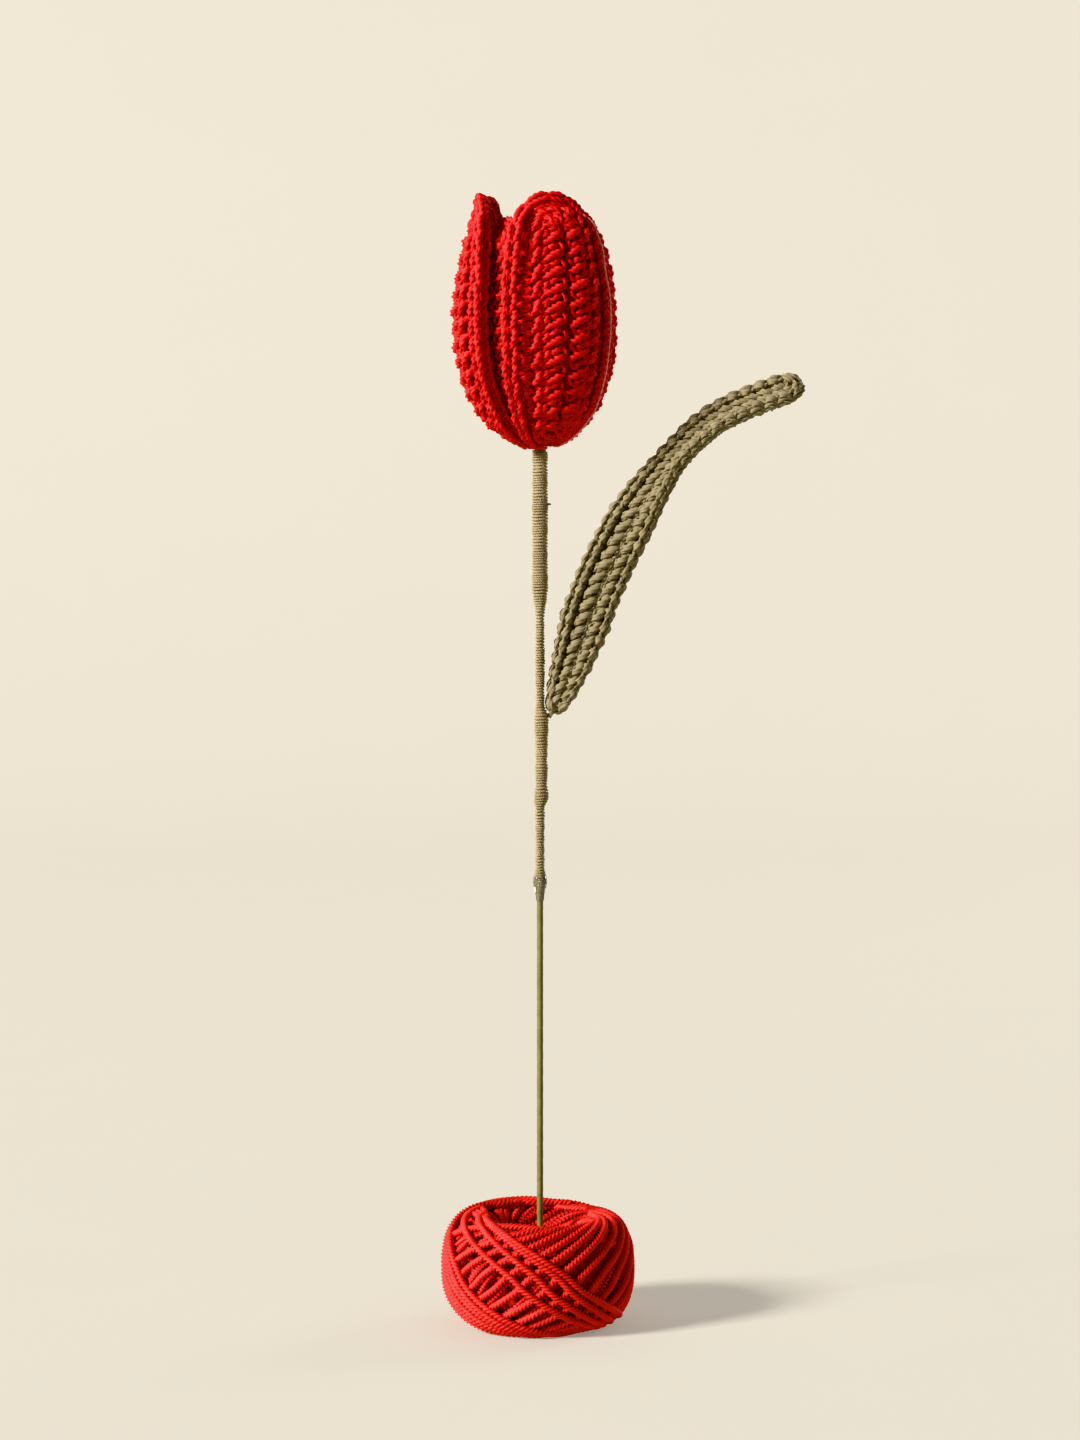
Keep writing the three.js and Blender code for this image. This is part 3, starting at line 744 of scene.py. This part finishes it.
class TULIP_OT_yarn_ends(bpy.types.Operator):
    """Bind the petals' yarn ends under the wrap and round the petals' feet"""

    bl_idname = "tulip.yarn_ends"
    bl_label = "Yarn ends"

    def execute(self, context):
        petal = context.scene.tulip_petal
        lowest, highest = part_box("petal_tails")
        half = TAIL_YARN / 2
        lines = []
        for i in range(len(PETALS)):
            height = np.linspace(lowest[2] + half, highest[2] - half, 60)
            turn = np.pi / 3 * i + 0.6 * (height - height[0]) / (height[-1] - height[0])
            lines.append(coil(highest[0] - 1.8 * half, turn, height))
        lines.append(self.base(petal, half))
        bound = spin_yarn(lines, TAIL_YARN, 0.5 * MM, lay=2 * MM, groove=0.2)
        parts = [(bound, cotton_yarn("bound_cotton_ends", petal.cotton))]
        make_piece("petal_yarn_ends", parts, "flower_stem", "petal_tails")
        return {"FINISHED"}

    def base(self, petal, half):
        """Close turns of yarn that bind the petals' feet and close the flower's base between them."""
        turn = np.linspace(0, FULL_TURN * BASE_TURNS, 660)
        share = turn / turn[-1]
        flat = 0.12  # share of the turns that lie close under the petals' feet
        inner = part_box("stem_wrap")[1][1] - half
        radius = inner + (3 * petal.thickness - inner) * np.clip((share - flat) / (1 - flat), 0, 1)
        rise = 1.1 * petal.thickness * ramp(share, 0.06, 0.35) + petal.thickness * ramp(share, 0.5, 1)
        return coil(radius, turn, petal.head_height + half * np.minimum(share / flat, 1) + rise)


# Crocheted rounds, shared by petals and leaf


class Round:
    """Rounds of stitches up one side of a middle chain, over its end and down the other side."""

    ROOT_FROM = 0.96  # the rest of the way round runs along the root
    MEASURED_OUT = 0.62  # where the length of a round is measured, as a share of the way out
    POINTS = 1601

    def __init__(self, surface, width, chain_from, chain_to, calm=0.0):
        self.surface = surface
        self.width = width
        self.chain_from = chain_from
        self.chain_to = chain_to
        self.calm = calm
        self.around = np.linspace(-1, 1, self.POINTS)
        row = self.place(self.around, np.full(self.POINTS, self.MEASURED_OUT), np.zeros(self.POINTS))
        self.along = run_lengths(row)

    def place(self, around, out, lift):
        """Points at a place round the edge, a share of the way out and a lift off the middle layer."""
        up_side = np.minimum(np.abs(around) / self.ROOT_FROM, 1)
        along_root = np.clip((1 - np.abs(around)) / (1 - self.ROOT_FROM), 0, 1)
        share = 0.5 + 0.5 * np.cos(up_side * np.pi)
        middle = np.clip(share, self.chain_from, self.chain_to)
        at = middle + (share - middle) * out
        aside = np.sign(around) * self.width(share) * along_root * out
        # Stitches lie flatter near the tip and the root.
        ends = ramp(at, 0.84, 0.95) + 0.6 - 0.6 * ramp(at, 0.04, 0.18)
        return self.surface(at, aside, lift * (1 - self.calm * ends))

    def stitches(self, pitch):
        """How many stitches the round takes."""
        return round(self.along[-1] / pitch)

    def work(self, pattern, count, shake, seed, first=0, last=0):
        """Line of one yarn worked round: the pattern of (along, out, lift, width) once for each stitch."""
        numbers = np.arange(first, count - last)
        cells = np.asarray(pattern, dtype=float)
        along = (numbers[:, None] + cells[None, :, 0]).ravel()
        out = np.tile(cells[:, 1], len(numbers))
        lift = np.tile(cells[:, 2], len(numbers)) * MM
        width = np.tile(cells[:, 3], len(numbers))
        chance = np.random.default_rng(seed)
        whole = np.repeat(chance.normal(0, shake, (len(numbers), 4)), len(cells), axis=0)
        along = along + whole[:, 0] + chance.normal(0, 0.5 * shake, along.shape)
        out = out + 0.3 * whole[:, 1] + chance.normal(0, 0.2 * shake, out.shape)
        lift = lift + (4 * whole[:, 2] + chance.normal(0, 1.5 * shake, lift.shape)) * MM
        width = width * (1 + 2 * whole[:, 3])
        around = np.interp(along / count * self.along[-1], self.along, self.around)
        return smooth_line(np.column_stack([self.place(around, out, lift), width]), 7)

    def work_sides(self, pattern, count, shake, seed, spare, root=0):
        """Lines of two yarns, one on each side, which leave out stitches beside the tip and the root."""
        tip = count // 2
        left = self.work(pattern, count, shake, seed, root, count - tip + spare)
        return [left, self.work(pattern, count, shake, seed + 60, tip + spare, root)]

    def work_tip(self, pattern, count, shake, seed, spare):
        """Line of one yarn worked over the tip alone."""
        tip = count // 2
        return self.work(pattern, count, shake, seed, tip - spare, count - tip - spare)


def backing(rounds, valley_depth, columns, rows):
    """Thin closed sheet in the middle of the fabric, which the holes between stitches show; it carries
    painted shade.
    """
    shape = bmesh.new()
    bmesh.ops.create_grid(shape, x_segments=columns, y_segments=rows, size=1)
    places = np.array([vertex.co for vertex in shape.verts])
    around = places[:, 0] * 0.998
    out = (places[:, 1] + 1) / 2 * 0.97
    # It lies deep behind the sunk stitches and beside the middle chain, and high along the edge.
    valley = ramp(out, 0.50, 0.57) * (1 - ramp(out, 0.76, 0.84))
    holes = (1 - ramp(out, 0.06, 0.14)) * ramp(np.abs(around), 0.2, 0.3)
    lift = -0.45 + 0.8 * ramp(out, 0.80, 0.86) - valley_depth * valley - 0.7 * holes
    for vertex, point in zip(shape.verts, rounds.place(around, out, lift * MM)):
        vertex.co = point
    bmesh.ops.remove_doubles(shape, verts=shape.verts, dist=0.05 * MM)
    bmesh.ops.recalc_face_normals(shape, faces=shape.faces)
    bmesh.ops.solidify(shape, geom=shape.faces, thickness=0.4 * MM)
    # A middle ply height gives the sheet part of the yarn's painted shade.
    return finish_shape(shape, "backing", 0.5)


def chain_pattern(middle, half, lift):
    """One link of an edge chain: a leg that leans out to one side, and the other leg back to its start."""
    leg = [
        (0.0, 0.15, -0.9, 0.8), (0.14, 0.35, -0.2, 1.0), (0.42, 0.72, 0.1, 1.2), (0.75, 1.0, 0.15, 1.25),
        (1.05, 1.05, -0.1, 1.1), (1.25, 0.85, -0.7, 0.85), (1.30, 0.5, -1.4, 0.7),
    ]
    one = [(along, middle - half * side, lift + rise, width) for along, side, rise, width in leg]
    other = [(along, middle + half * side, lift + rise, width) for along, side, rise, width in reversed(leg)]
    return one + other + [(0.5, middle, lift - 2.0, 0.7)]


def row_pattern(out, lift):
    """A plain row: a yarn that runs along the round, a little fuller in the middle of each stitch."""
    return [(0.0, out, lift - 0.1, 1.0), (0.5, out + 0.01, lift + 0.1, 1.15)]


def mirrored(pattern, depth, sink=0.0):
    """The same stitch seen on the back of the fabric."""
    return [(along, out, -depth * lift - sink, width) for along, out, lift, width in pattern]


# Petals

# One stitch as (along, out, lift in mm, width): two strands of a slanting post, back loop and front loop.
PETAL_STITCH = [
    (0.70, 0.30, -0.6, 0.8), (0.78, 0.275, 0.3, 1.0), (0.88, 0.235, 0.65, 1.3), (1.00, 0.18, 0.75, 1.4),
    (1.08, 0.14, 0.45, 1.2), (1.12, 0.12, -0.5, 0.9), (0.95, 0.06, -1.4, 0.8), (0.64, 0.05, -0.1, 1.1),
    (0.58, 0.085, 0.75, 1.45), (0.47, 0.15, 1.15, 1.6), (0.36, 0.215, 1.3, 1.5), (0.25, 0.28, 1.2, 1.25),
    (0.15, 0.34, 0.85, 1.0), (0.07, 0.385, -0.2, 0.8), (0.10, 0.39, -0.8, 0.8), (0.28, 0.41, -0.6, 0.8),
    (0.34, 0.395, 0.1, 0.85), (0.44, 0.375, 0.8, 1.1), (0.60, 0.345, 1.0, 1.15), (0.77, 0.315, 0.75, 1.0),
    (0.86, 0.29, -0.2, 0.8), (0.50, 0.40, -0.9, 0.8), (0.0, 0.54, -0.6, 0.8), (0.04, 0.53, 0.4, 0.95),
    (0.16, 0.51, 1.1, 1.2), (0.40, 0.475, 1.4, 1.3), (0.62, 0.445, 1.25, 1.2), (0.79, 0.42, 0.6, 1.0),
    (0.86, 0.40, -0.4, 0.85), (1.30, 0.34, -1.0, 0.8),
]
# Short stitches of the second round, sunk behind the first.
PETAL_SECOND = [
    (0.02, 0.78, -1.1, 0.9), (0.12, 0.74, -0.7, 1.05), (0.28, 0.67, -0.5, 1.2), (0.42, 0.61, -0.55, 1.05),
    (0.50, 0.57, -1.0, 0.9), (0.52, 0.78, -1.1, 0.9), (0.62, 0.74, -0.75, 1.05), (0.78, 0.67, -0.55, 1.2),
    (0.92, 0.61, -0.6, 1.05), (1.00, 0.57, -1.0, 0.9),
]
# Plain rows round the tip and beside the root, as shares of the way out, and the stitches that they take.
TIP_ROWS = (0.50, 0.59, 0.68, 0.77)
ROOT_ROWS = (0.12, 0.36, 0.60)
TIP_STITCHES = 4
ROOT_STITCHES = 3
# Middles of the left and right edge chains and half the width of both, as shares of the way out.
LEFT_CHAIN = 0.875
RIGHT_CHAIN = 0.865
CHAIN_HALF = 0.078

# Side line of a petal above its root, as shares of the flower's radius and of the petal's height.
PETAL_SIDE = (
    (0.495, 0.07), (0.774, 0.176), (0.953, 0.326), (1.0, 0.513), (0.937, 0.684), (0.779, 0.847), (0.432, 1.0)
)
SIDE_POINTS = 24  # points in each span of that line


class PetalForm(NamedTuple):
    """How one petal stands: angles in degrees, distances in mm."""

    node: str
    body: str
    turn: float
    lean: float = 0
    twist: float = 0
    tip_out: float = 0
    tip_round: float = 0.5
    inside: bool = False
    left_edge: float = 0.8
    right_edge: float = 0.8
    second_rise: float = 0


PETALS = (
    PetalForm("outer_petal_front", "front_petal", 18, left_edge=1.7, right_edge=0.7, second_rise=-0.4),
    PetalForm("outer_petal_left", "left_petal", -88, 1.5, -15, 4.5, 0.25, False, 1.5, 1.8, 0.6),
    PetalForm("outer_petal_right", "right_petal", 152, left_edge=0.5, right_edge=1.5),
    PetalForm("inner_petal_front", "flower_stem", -50, twist=-18, tip_out=1.2, inside=True),
    PetalForm("inner_petal_right", "flower_stem", 81, inside=True),
    PetalForm("inner_petal_back", "flower_stem", 196, inside=True),
)


def outer_side(settings):
    """Side line of the outer petals."""
    half = settings.thickness / 2
    foot = [(settings.root_radius, half), (settings.root_radius + 3.2 * MM, half + 0.3 * MM)]
    rest = [(out * settings.radius, up * settings.height) for out, up in PETAL_SIDE]
    return Track(foot + rest, SIDE_POINTS)


def inner_side(settings):
    """Side line of the inner petals, one thickness of fabric inside the outer ones."""
    outer = outer_side(settings)
    inset = settings.thickness + settings.layer_gap
    count = len(PETAL_SIDE) + 1
    points = [(settings.root_radius, settings.thickness / 2 + inset)]
    for i in range(1, count + 1):
        (radius, height), (out, up) = outer.at(np.array(settings.inner_reach * i / count))
        points.append((radius - up * inset, height + out * inset))
    return Track(points, SIDE_POINTS)


class Petal:
    """Surface of one petal: where a stitch of it lies."""

    def __init__(self, settings, form):
        self.side = inner_side(settings) if form.inside else outer_side(settings)
        self.settings = settings
        self.twist = math.radians(form.twist)
        self.tip_out = form.tip_out * MM
        self.tip_round = form.tip_round
        self.sink = 0.8 * MM if form.inside else 0.0
        hinge = Vector((0, -settings.root_radius * math.cos(settings.half_angle), -0.5 * MM))
        lean = Matrix.Rotation(math.radians(form.lean), 4, "X")
        tilt = Matrix.Translation(hinge) @ lean @ Matrix.Translation(-hinge)
        up = Matrix.Translation((0, 0, settings.head_height))
        self.matrix = np.array(up @ Matrix.Rotation(math.radians(form.turn), 4, "Z") @ tilt)

    def width(self, share):
        """Half angle that the petal takes at a share of its length."""
        left = 1 - np.clip(share, 0, 1) ** self.settings.tip_power
        return self.settings.half_angle * left**self.tip_round

    def surface(self, share, aside, lift):
        """Points at a share up the side line and an angle aside, lifted off the middle layer."""
        (radius, height), (out, up) = self.side.at(share)
        lift = lift - self.sink
        radius = radius + up * lift + self.tip_out * ramp(share, self.settings.tip_from, 1)
        height = height - out * lift
        off_middle = 1 - np.clip(aside / self.settings.half_angle, -1, 1) ** 2
        aside = aside + self.settings.middle_turn * off_middle
        aside = aside + self.twist * ramp(share, self.settings.twist_from, 1)
        local = np.column_stack([from_front(radius, aside, height), np.ones_like(height)])
        return (local @ self.matrix.T)[:, :3]


def loose_ply(rounds):
    """Line of one ply that has come loose along the right edge."""
    around = np.linspace(0.06, 0.93, 160)
    out = 0.79 + 0.07 * ramp(around, 0.5, 0.9) + 0.014 * np.sin(around * 67) + 0.014 * np.sin(around * 31)
    lift = (0.9 + 1.1 * ramp(around, 0.06, 0.3) + 0.15 * np.sin(around * 61)) * MM
    return rounds.place(around, out, lift)


class TULIP_OT_petals(bpy.types.Operator):
    """Crochet the six petals"""

    bl_idname = "tulip.petals"
    bl_label = "Petals"

    def execute(self, context):
        settings = context.scene.tulip_petal
        cotton = cotton_yarn("crochet_cotton_yarn", settings.cotton)
        # Painted shade: the backing is the petals' yarn coloured darker, for the shade seen in the holes.
        under = cotton_yarn("crochet_backing_painted_shade", shade(settings.cotton, 0.8))
        # Painted highlight: the loose ply is coloured pale for the light that it catches.
        loose = cotton_yarn("loose_ply_painted_highlight", settings.loose)
        for seed, form in enumerate(PETALS):
            petal = Petal(settings, form)
            rounds = Round(petal.surface, petal.width, chain_from=0.15, chain_to=0.84, calm=0.7)
            count = rounds.stitches(settings.pitch)
            step = 0.5 * MM if form.inside else 0.38 * MM
            face = self.face(rounds, count, form, seed)
            face = spin_yarn(face, settings.yarn, step, lay=4.4 * MM, groove=0.42)
            back = spin_yarn(self.back(rounds, count, form, seed), settings.yarn, 0.7 * MM, plies=2)
            sheet = backing(rounds, 0.7 - form.second_rise, columns=70, rows=16)
            parts = [(face, cotton), (back, cotton), (sheet, under)]
            if form.node == "outer_petal_front":
                parts.append((spin_yarn([loose_ply(rounds)], 0.6 * MM, 0.5 * MM, plies=2), loose))
            make_piece(form.node.replace("petal", "crochet"), parts, form.body, form.node)
        return {"FINISHED"}

    def face(self, rounds, count, form, seed):
        """Yarns of the outside: posts and sunk stitches up both sides, rows at the ends, edge chains."""
        tip = count // 2
        second = mirrored(PETAL_SECOND, -1, -form.second_rise)
        tip_rows = [row_pattern(out, form.second_rise - 0.6) for out in TIP_ROWS]
        root_rows = [row_pattern(out, 0.6) for out in ROOT_ROWS]
        left_edge = chain_pattern(LEFT_CHAIN, CHAIN_HALF, form.left_edge)
        right_edge = chain_pattern(RIGHT_CHAIN, CHAIN_HALF, form.right_edge)
        rest = count - ROOT_STITCHES
        return [
            *rounds.work_sides(PETAL_STITCH, count, 0.035, seed, spare=0, root=2),
            *rounds.work_sides(second, count, 0.03, seed + 10, spare=3, root=2),
            *(rounds.work_tip(row, count, 0.02, seed + 80, TIP_STITCHES) for row in tip_rows),
            *(rounds.work(row, count, 0.02, seed + 110, last=rest) for row in root_rows),
            *(rounds.work(row, count, 0.02, seed + 120, first=rest) for row in root_rows),
            rounds.work(left_edge, count, 0.02, seed + 20, last=count - tip),
            rounds.work(right_edge, count, 0.02, seed + 70, first=tip, last=1),
        ]

    def back(self, rounds, count, form, seed):
        """Yarns of the inside: the same stitches seen from behind."""
        tip_rows = [row_pattern(out, -1.5) for out in TIP_ROWS]
        edge = mirrored(chain_pattern(LEFT_CHAIN, CHAIN_HALF, form.left_edge), 0.5, 0.2)
        return [
            *rounds.work_sides(mirrored(PETAL_STITCH, 0.85), count, 0.03, seed + 30, spare=0),
            *rounds.work_sides(mirrored(PETAL_SECOND, 0.85, 1.6), count, 0.03, seed + 40, spare=3),
            *(rounds.work_tip(row, count, 0.02, seed + 90, TIP_STITCHES) for row in tip_rows),
            rounds.work(edge, count, 0.02, seed + 50, last=1),
        ]


# Leaf

# One stitch of the leaf: the two strands of its slanting post.
LEAF_STITCH = [
    (1.30, 0.06, -0.6, 0.8), (1.18, 0.10, 0.4, 1.1), (0.98, 0.18, 0.95, 1.3), (0.72, 0.27, 1.2, 1.45),
    (0.46, 0.36, 1.1, 1.4), (0.26, 0.42, 0.5, 1.2), (0.16, 0.46, -0.8, 0.85), (0.55, 0.47, -0.9, 0.75),
    (0.64, 0.43, 0.0, 0.9), (0.80, 0.36, 0.5, 1.05), (1.02, 0.27, 0.65, 1.1), (1.24, 0.18, 0.5, 1.05),
    (1.42, 0.10, 0.1, 0.95), (1.50, 0.05, -0.6, 0.8),
]
# The leaf's edge: a column of ovals, a rope outside it, and the rope's other side.
LEAF_OVAL = [
    (0.00, 0.72, -1.5, 0.7), (0.06, 0.72, -0.2, 1.1), (0.16, 0.715, 0.9, 1.35), (0.40, 0.70, 1.4, 1.45),
    (0.62, 0.685, 0.9, 1.35), (0.72, 0.68, -0.2, 1.1), (0.78, 0.68, -1.5, 0.7),
]
LEAF_ROPE = [
    (0.0, 0.93, -0.4, 0.65), (0.15, 0.945, 0.3, 0.8), (0.48, 0.955, 0.65, 0.9), (0.82, 0.95, 0.35, 0.8),
    (0.98, 0.935, -0.4, 0.65), (0.75, 0.93, -0.7, 0.65),
]
LEAF_RIM = [
    (0.0, 0.96, -0.9, 0.65), (0.2, 1.0, -0.6, 0.85), (0.5, 1.03, -0.45, 1.0), (0.8, 1.0, -0.6, 0.85),
]
# Middle line of the leaf: its start and the yarn of its neck in mm from the foot, the rest as shares of its
# reach, sag and rise.
LEAF_START = (3.4, 0, 1.2)
LEAF_NECK = ((2.1, 0, -0.1), (2.5, 0, 0.4), (3.1, 0, 1.3), (4, 0, 3))
LEAF_LINE = (
    (0.112, 0.5, 0.148), (0.236, 1.0, 0.428), (0.424, 1.0, 0.696), (0.66, 0.5, 0.897), (1.0, 0.0, 1.014)
)
LEAF_SHAKE = 0.02
# Shares of the leaf's length: where its root has reached full width and its rounded tip begins, and where it
# grows narrower between these, with its width left at the root and lost by the tip.
ROOT_TO = 0.22
TIP_FROM = 0.95
NARROWS = (0.46, 0.68)
ROOT_WIDTH = 0.14
TIP_LOSS = 0.33


class Leaf:
    """Surface of the leaf: a folded strip along a bowed line."""

    def __init__(self, settings):
        x, y, z = LEAF_START
        points = [(x * MM, y, settings.height + z * MM)]
        for x, y, z in LEAF_LINE:
            points.append((x * settings.reach, -y * settings.sag, settings.height + z * settings.rise))
        self.middle = Track(points, 40)
        self.settings = settings

    def width(self, share):
        """Half width at a share of the length, rounded at both ends."""
        root = np.sqrt(np.clip(share / ROOT_TO, 0, 1))
        past = np.clip((share - TIP_FROM) / (1 - TIP_FROM), 0, 1)
        ends = (ROOT_WIDTH + (1 - ROOT_WIDTH) * root) * np.sqrt(1 - past**2)
        return self.settings.half_width * ends * (1 - TIP_LOSS * ramp(share, *NARROWS))

    def surface(self, share, aside, lift):
        """Points at a share of the length and a distance aside, lifted off the middle layer."""
        inside = np.clip(share, 0, 1)
        width = np.maximum(self.width(inside), 0.01 * MM)
        off_middle = 1 - np.clip(aside / width, -1, 1) ** 2
        narrow = np.minimum(1, width / self.settings.half_width)
        aside = -aside - self.settings.middle_shift * off_middle * narrow
        point, tangent = (rows.T for rows in self.middle.at(share))
        upper = np.cross(tangent, (0.0, 1.0, 0.0))
        upper = upper / np.linalg.norm(upper, axis=1)[:, None]
        side = np.cross(upper, tangent)
        bend = ramp(inside, self.settings.bend_from, self.settings.bend_to)
        turn = self.settings.turn_base + (self.settings.turn_tip - self.settings.turn_base) * bend
        fold = self.settings.fold_base + (self.settings.fold_tip - self.settings.fold_base) * bend
        cos, sin = np.cos(turn)[:, None], np.sin(turn)[:, None]
        across = side * cos + np.cross(tangent, side) * sin
        face = upper * cos + np.cross(tangent, upper) * sin
        soft = 0.8 * MM
        away = np.sqrt(aside**2 + soft**2)
        lean = np.sin(fold) * aside / away
        normal = face * np.cos(fold)[:, None] - across * lean[:, None]
        rise = (away - soft) * np.tan(fold)
        return point + across * aside[:, None] + face * rise[:, None] + normal * lift[:, None]


class TULIP_OT_leaf(bpy.types.Operator):
    """Crochet the leaf"""

    bl_idname = "tulip.leaf"
    bl_label = "Leaf"

    def execute(self, context):
        settings = context.scene.tulip_leaf
        cotton = cotton_yarn("leaf_cotton_yarn", settings.cotton, mottle=3 * MM)
        # Painted shade: the backing is the leaf's yarn coloured darker, for the shade seen in the holes.
        under = cotton_yarn("leaf_backing_painted_shade", shade(settings.cotton, 0.6))
        leaf = Leaf(settings)
        rounds = Round(leaf.surface, leaf.width, chain_from=0.03, chain_to=0.955)
        count = rounds.stitches(settings.pitch)
        patterns = ((LEAF_STITCH, 50), (LEAF_OVAL, 51), (LEAF_ROPE, 52), (LEAF_RIM, 54))
        front = [rounds.work(pattern, count, LEAF_SHAKE, seed) for pattern, seed in patterns]
        front.append(self.neck(settings))
        patterns = ((LEAF_STITCH, 53), (LEAF_OVAL, 55))
        back = [rounds.work(mirrored(pattern, 0.9), count, LEAF_SHAKE, seed) for pattern, seed in patterns]
        parts = [
            (spin_yarn(front, settings.yarn, 0.33 * MM, plies=4, lay=8 * MM, groove=0.5), cotton),
            (spin_yarn(back, settings.yarn, 0.5 * MM, plies=2), cotton),
            (backing(rounds, 0.7, columns=90, rows=8), under),
        ]
        make_piece("leaf_crochet", parts, "leaf", "leaf_blade")
        return {"FINISHED"}

    def neck(self, settings):
        """Yarn that runs from the leaf's foot into the stem's wrap, at the point about which it bends."""
        return smooth_line(np.array(LEAF_NECK) * MM, 5) + np.array((0, 0, settings.height))


# Stage

# Half width, front, back, height and bend of the floor and backdrop, in metres.
FLOOR_HALF = 5.0
FLOOR_FRONT = 5.0
FLOOR_BACK = 1.1
WALL_TOP = 2.2
CURVE_RADIUS = 0.5
CURVE_STEPS = 12

# Place in metres, size in metres, power in watts and tint of each light.
LIGHTS = {
    "key": ((-4.72, -2.72, 2.6), 1.2, 880, "#fffaf2"),
    "fill": ((0.9, -1.0, 0.5), 1.2, 1.5, "#fffdf8"),
    "rim": ((1.2, 0.9, 0.5), 0.6, 11, "#fffaf2"),
}
SKY_TINT = "#fffdf8"
SKY_STRENGTH = 0.18


def sweep(settings):
    """Floor that curves up into a backdrop."""
    places = [(-FLOOR_FRONT, 0), (FLOOR_BACK, 0)]
    for i in range(1, CURVE_STEPS + 1):
        turn = math.pi / 2 * i / CURVE_STEPS
        places.append((FLOOR_BACK + CURVE_RADIUS * math.sin(turn), CURVE_RADIUS * (1 - math.cos(turn))))
    places.append((FLOOR_BACK + CURVE_RADIUS, WALL_TOP))
    shape = bmesh.new()
    line = [shape.verts.new((-FLOOR_HALF, y, z)) for y, z in places]
    edges = [shape.edges.new(pair) for pair in zip(line, line[1:])]
    made = bmesh.ops.extrude_edge_only(shape, edges=edges)
    moved = [item for item in made["geom"] if isinstance(item, bmesh.types.BMVert)]
    bmesh.ops.translate(shape, verts=moved, vec=(2 * FLOOR_HALF, 0, 0))
    bmesh.ops.recalc_face_normals(shape, faces=shape.faces)
    mesh = finish_shape(shape, "floor")
    mesh.shade_smooth()
    mesh.materials.append(backdrop_paper(settings.paper))
    floor = bpy.data.objects.new("floor", mesh)
    bpy.context.scene.collection.objects.link(floor)


def aimed(name, data, place, target):
    """A lamp or camera set at a place and turned to a target."""
    holder = bpy.data.objects.new(name, data)
    holder.location = place
    holder.rotation_euler = (Vector(target) - Vector(place)).to_track_quat("-Z", "Y").to_euler()
    bpy.context.scene.collection.objects.link(holder)
    return holder


class TULIP_OT_stage(bpy.types.Operator):
    """Set out the floor, the lights and the camera"""

    bl_idname = "tulip.stage"
    bl_label = "Stage"

    def execute(self, context):
        settings = context.scene.tulip_stage
        sweep(settings)
        middle = (0, 0, settings.view_middle)
        for name, (place, size, power, tint) in LIGHTS.items():
            lamp = bpy.data.lights.new(name, "AREA")
            lamp.size = size
            lamp.energy = power
            lamp.color = linear(tint)[:3]
            aimed(name, lamp, place, middle)
        world = bpy.data.worlds.new("studio")
        world.use_nodes = True
        sky = world.node_tree.nodes["Background"]
        sky.inputs["Color"].default_value = linear(SKY_TINT)
        sky.inputs["Strength"].default_value = SKY_STRENGTH
        context.scene.world = world
        context.scene.view_settings.view_transform = "Khronos PBR Neutral"
        place = (0, -settings.camera_distance, settings.camera_height)
        lens = bpy.data.cameras.new("camera")
        lens.sensor_fit = "VERTICAL"
        lens.angle = 2 * math.atan(settings.view_height / 2 / (Vector(middle) - Vector(place)).length)
        context.scene.camera = aimed("camera", lens, place, middle)
        return {"FINISHED"}


class TULIP_PT_panel(bpy.types.Panel):
    """The tulip's sizes and colours, and the steps that build it"""

    bl_idname = "TULIP_PT_panel"
    bl_label = "Crochet tulip"
    bl_space_type = "VIEW_3D"
    bl_region_type = "UI"
    bl_category = "Tulip"

    def draw(self, context):
        for name, operators in BUILD_STEPS.items():
            box = self.layout.box()
            settings = getattr(context.scene, name)
            for key in settings.bl_rna.properties.keys():
                if key not in {"rna_type", "name"}:
                    box.prop(settings, key, text=key.replace("_", " ").capitalize())
            for operator in operators:
                box.operator(operator.bl_idname)


SETTINGS = {
    "tulip_stage": StageSettings,
    "tulip_ball": BallSettings,
    "tulip_stem": StemSettings,
    "tulip_petal": PetalSettings,
    "tulip_leaf": LeafSettings,
}
BUILD_STEPS = {
    "tulip_stage": (TULIP_OT_stage,),
    "tulip_ball": (TULIP_OT_yarn_ball,),
    "tulip_stem": (TULIP_OT_stem_thread, TULIP_OT_wires, TULIP_OT_glue),
    "tulip_petal": (TULIP_OT_yarn_ends, TULIP_OT_petals),
    "tulip_leaf": (TULIP_OT_leaf,),
}
CLASSES = (*SETTINGS.values(), *(step for steps in BUILD_STEPS.values() for step in steps), TULIP_PT_panel)


def register():
    for cls in CLASSES:
        bpy.utils.register_class(cls)
    for name, group in SETTINGS.items():
        setattr(bpy.types.Scene, name, PointerProperty(type=group))


def unregister():
    for name in SETTINGS:
        delattr(bpy.types.Scene, name)
    for cls in reversed(CLASSES):
        bpy.utils.unregister_class(cls)


def main():
    register()
    bpy.ops.tulip.stage()
    bpy.ops.tulip.yarn_ball()
    bpy.ops.tulip.stem_thread()
    bpy.ops.tulip.wires()
    bpy.ops.tulip.glue()
    bpy.ops.tulip.yarn_ends()
    bpy.ops.tulip.petals()
    bpy.ops.tulip.leaf()


if __name__ == "__main__":
    main()
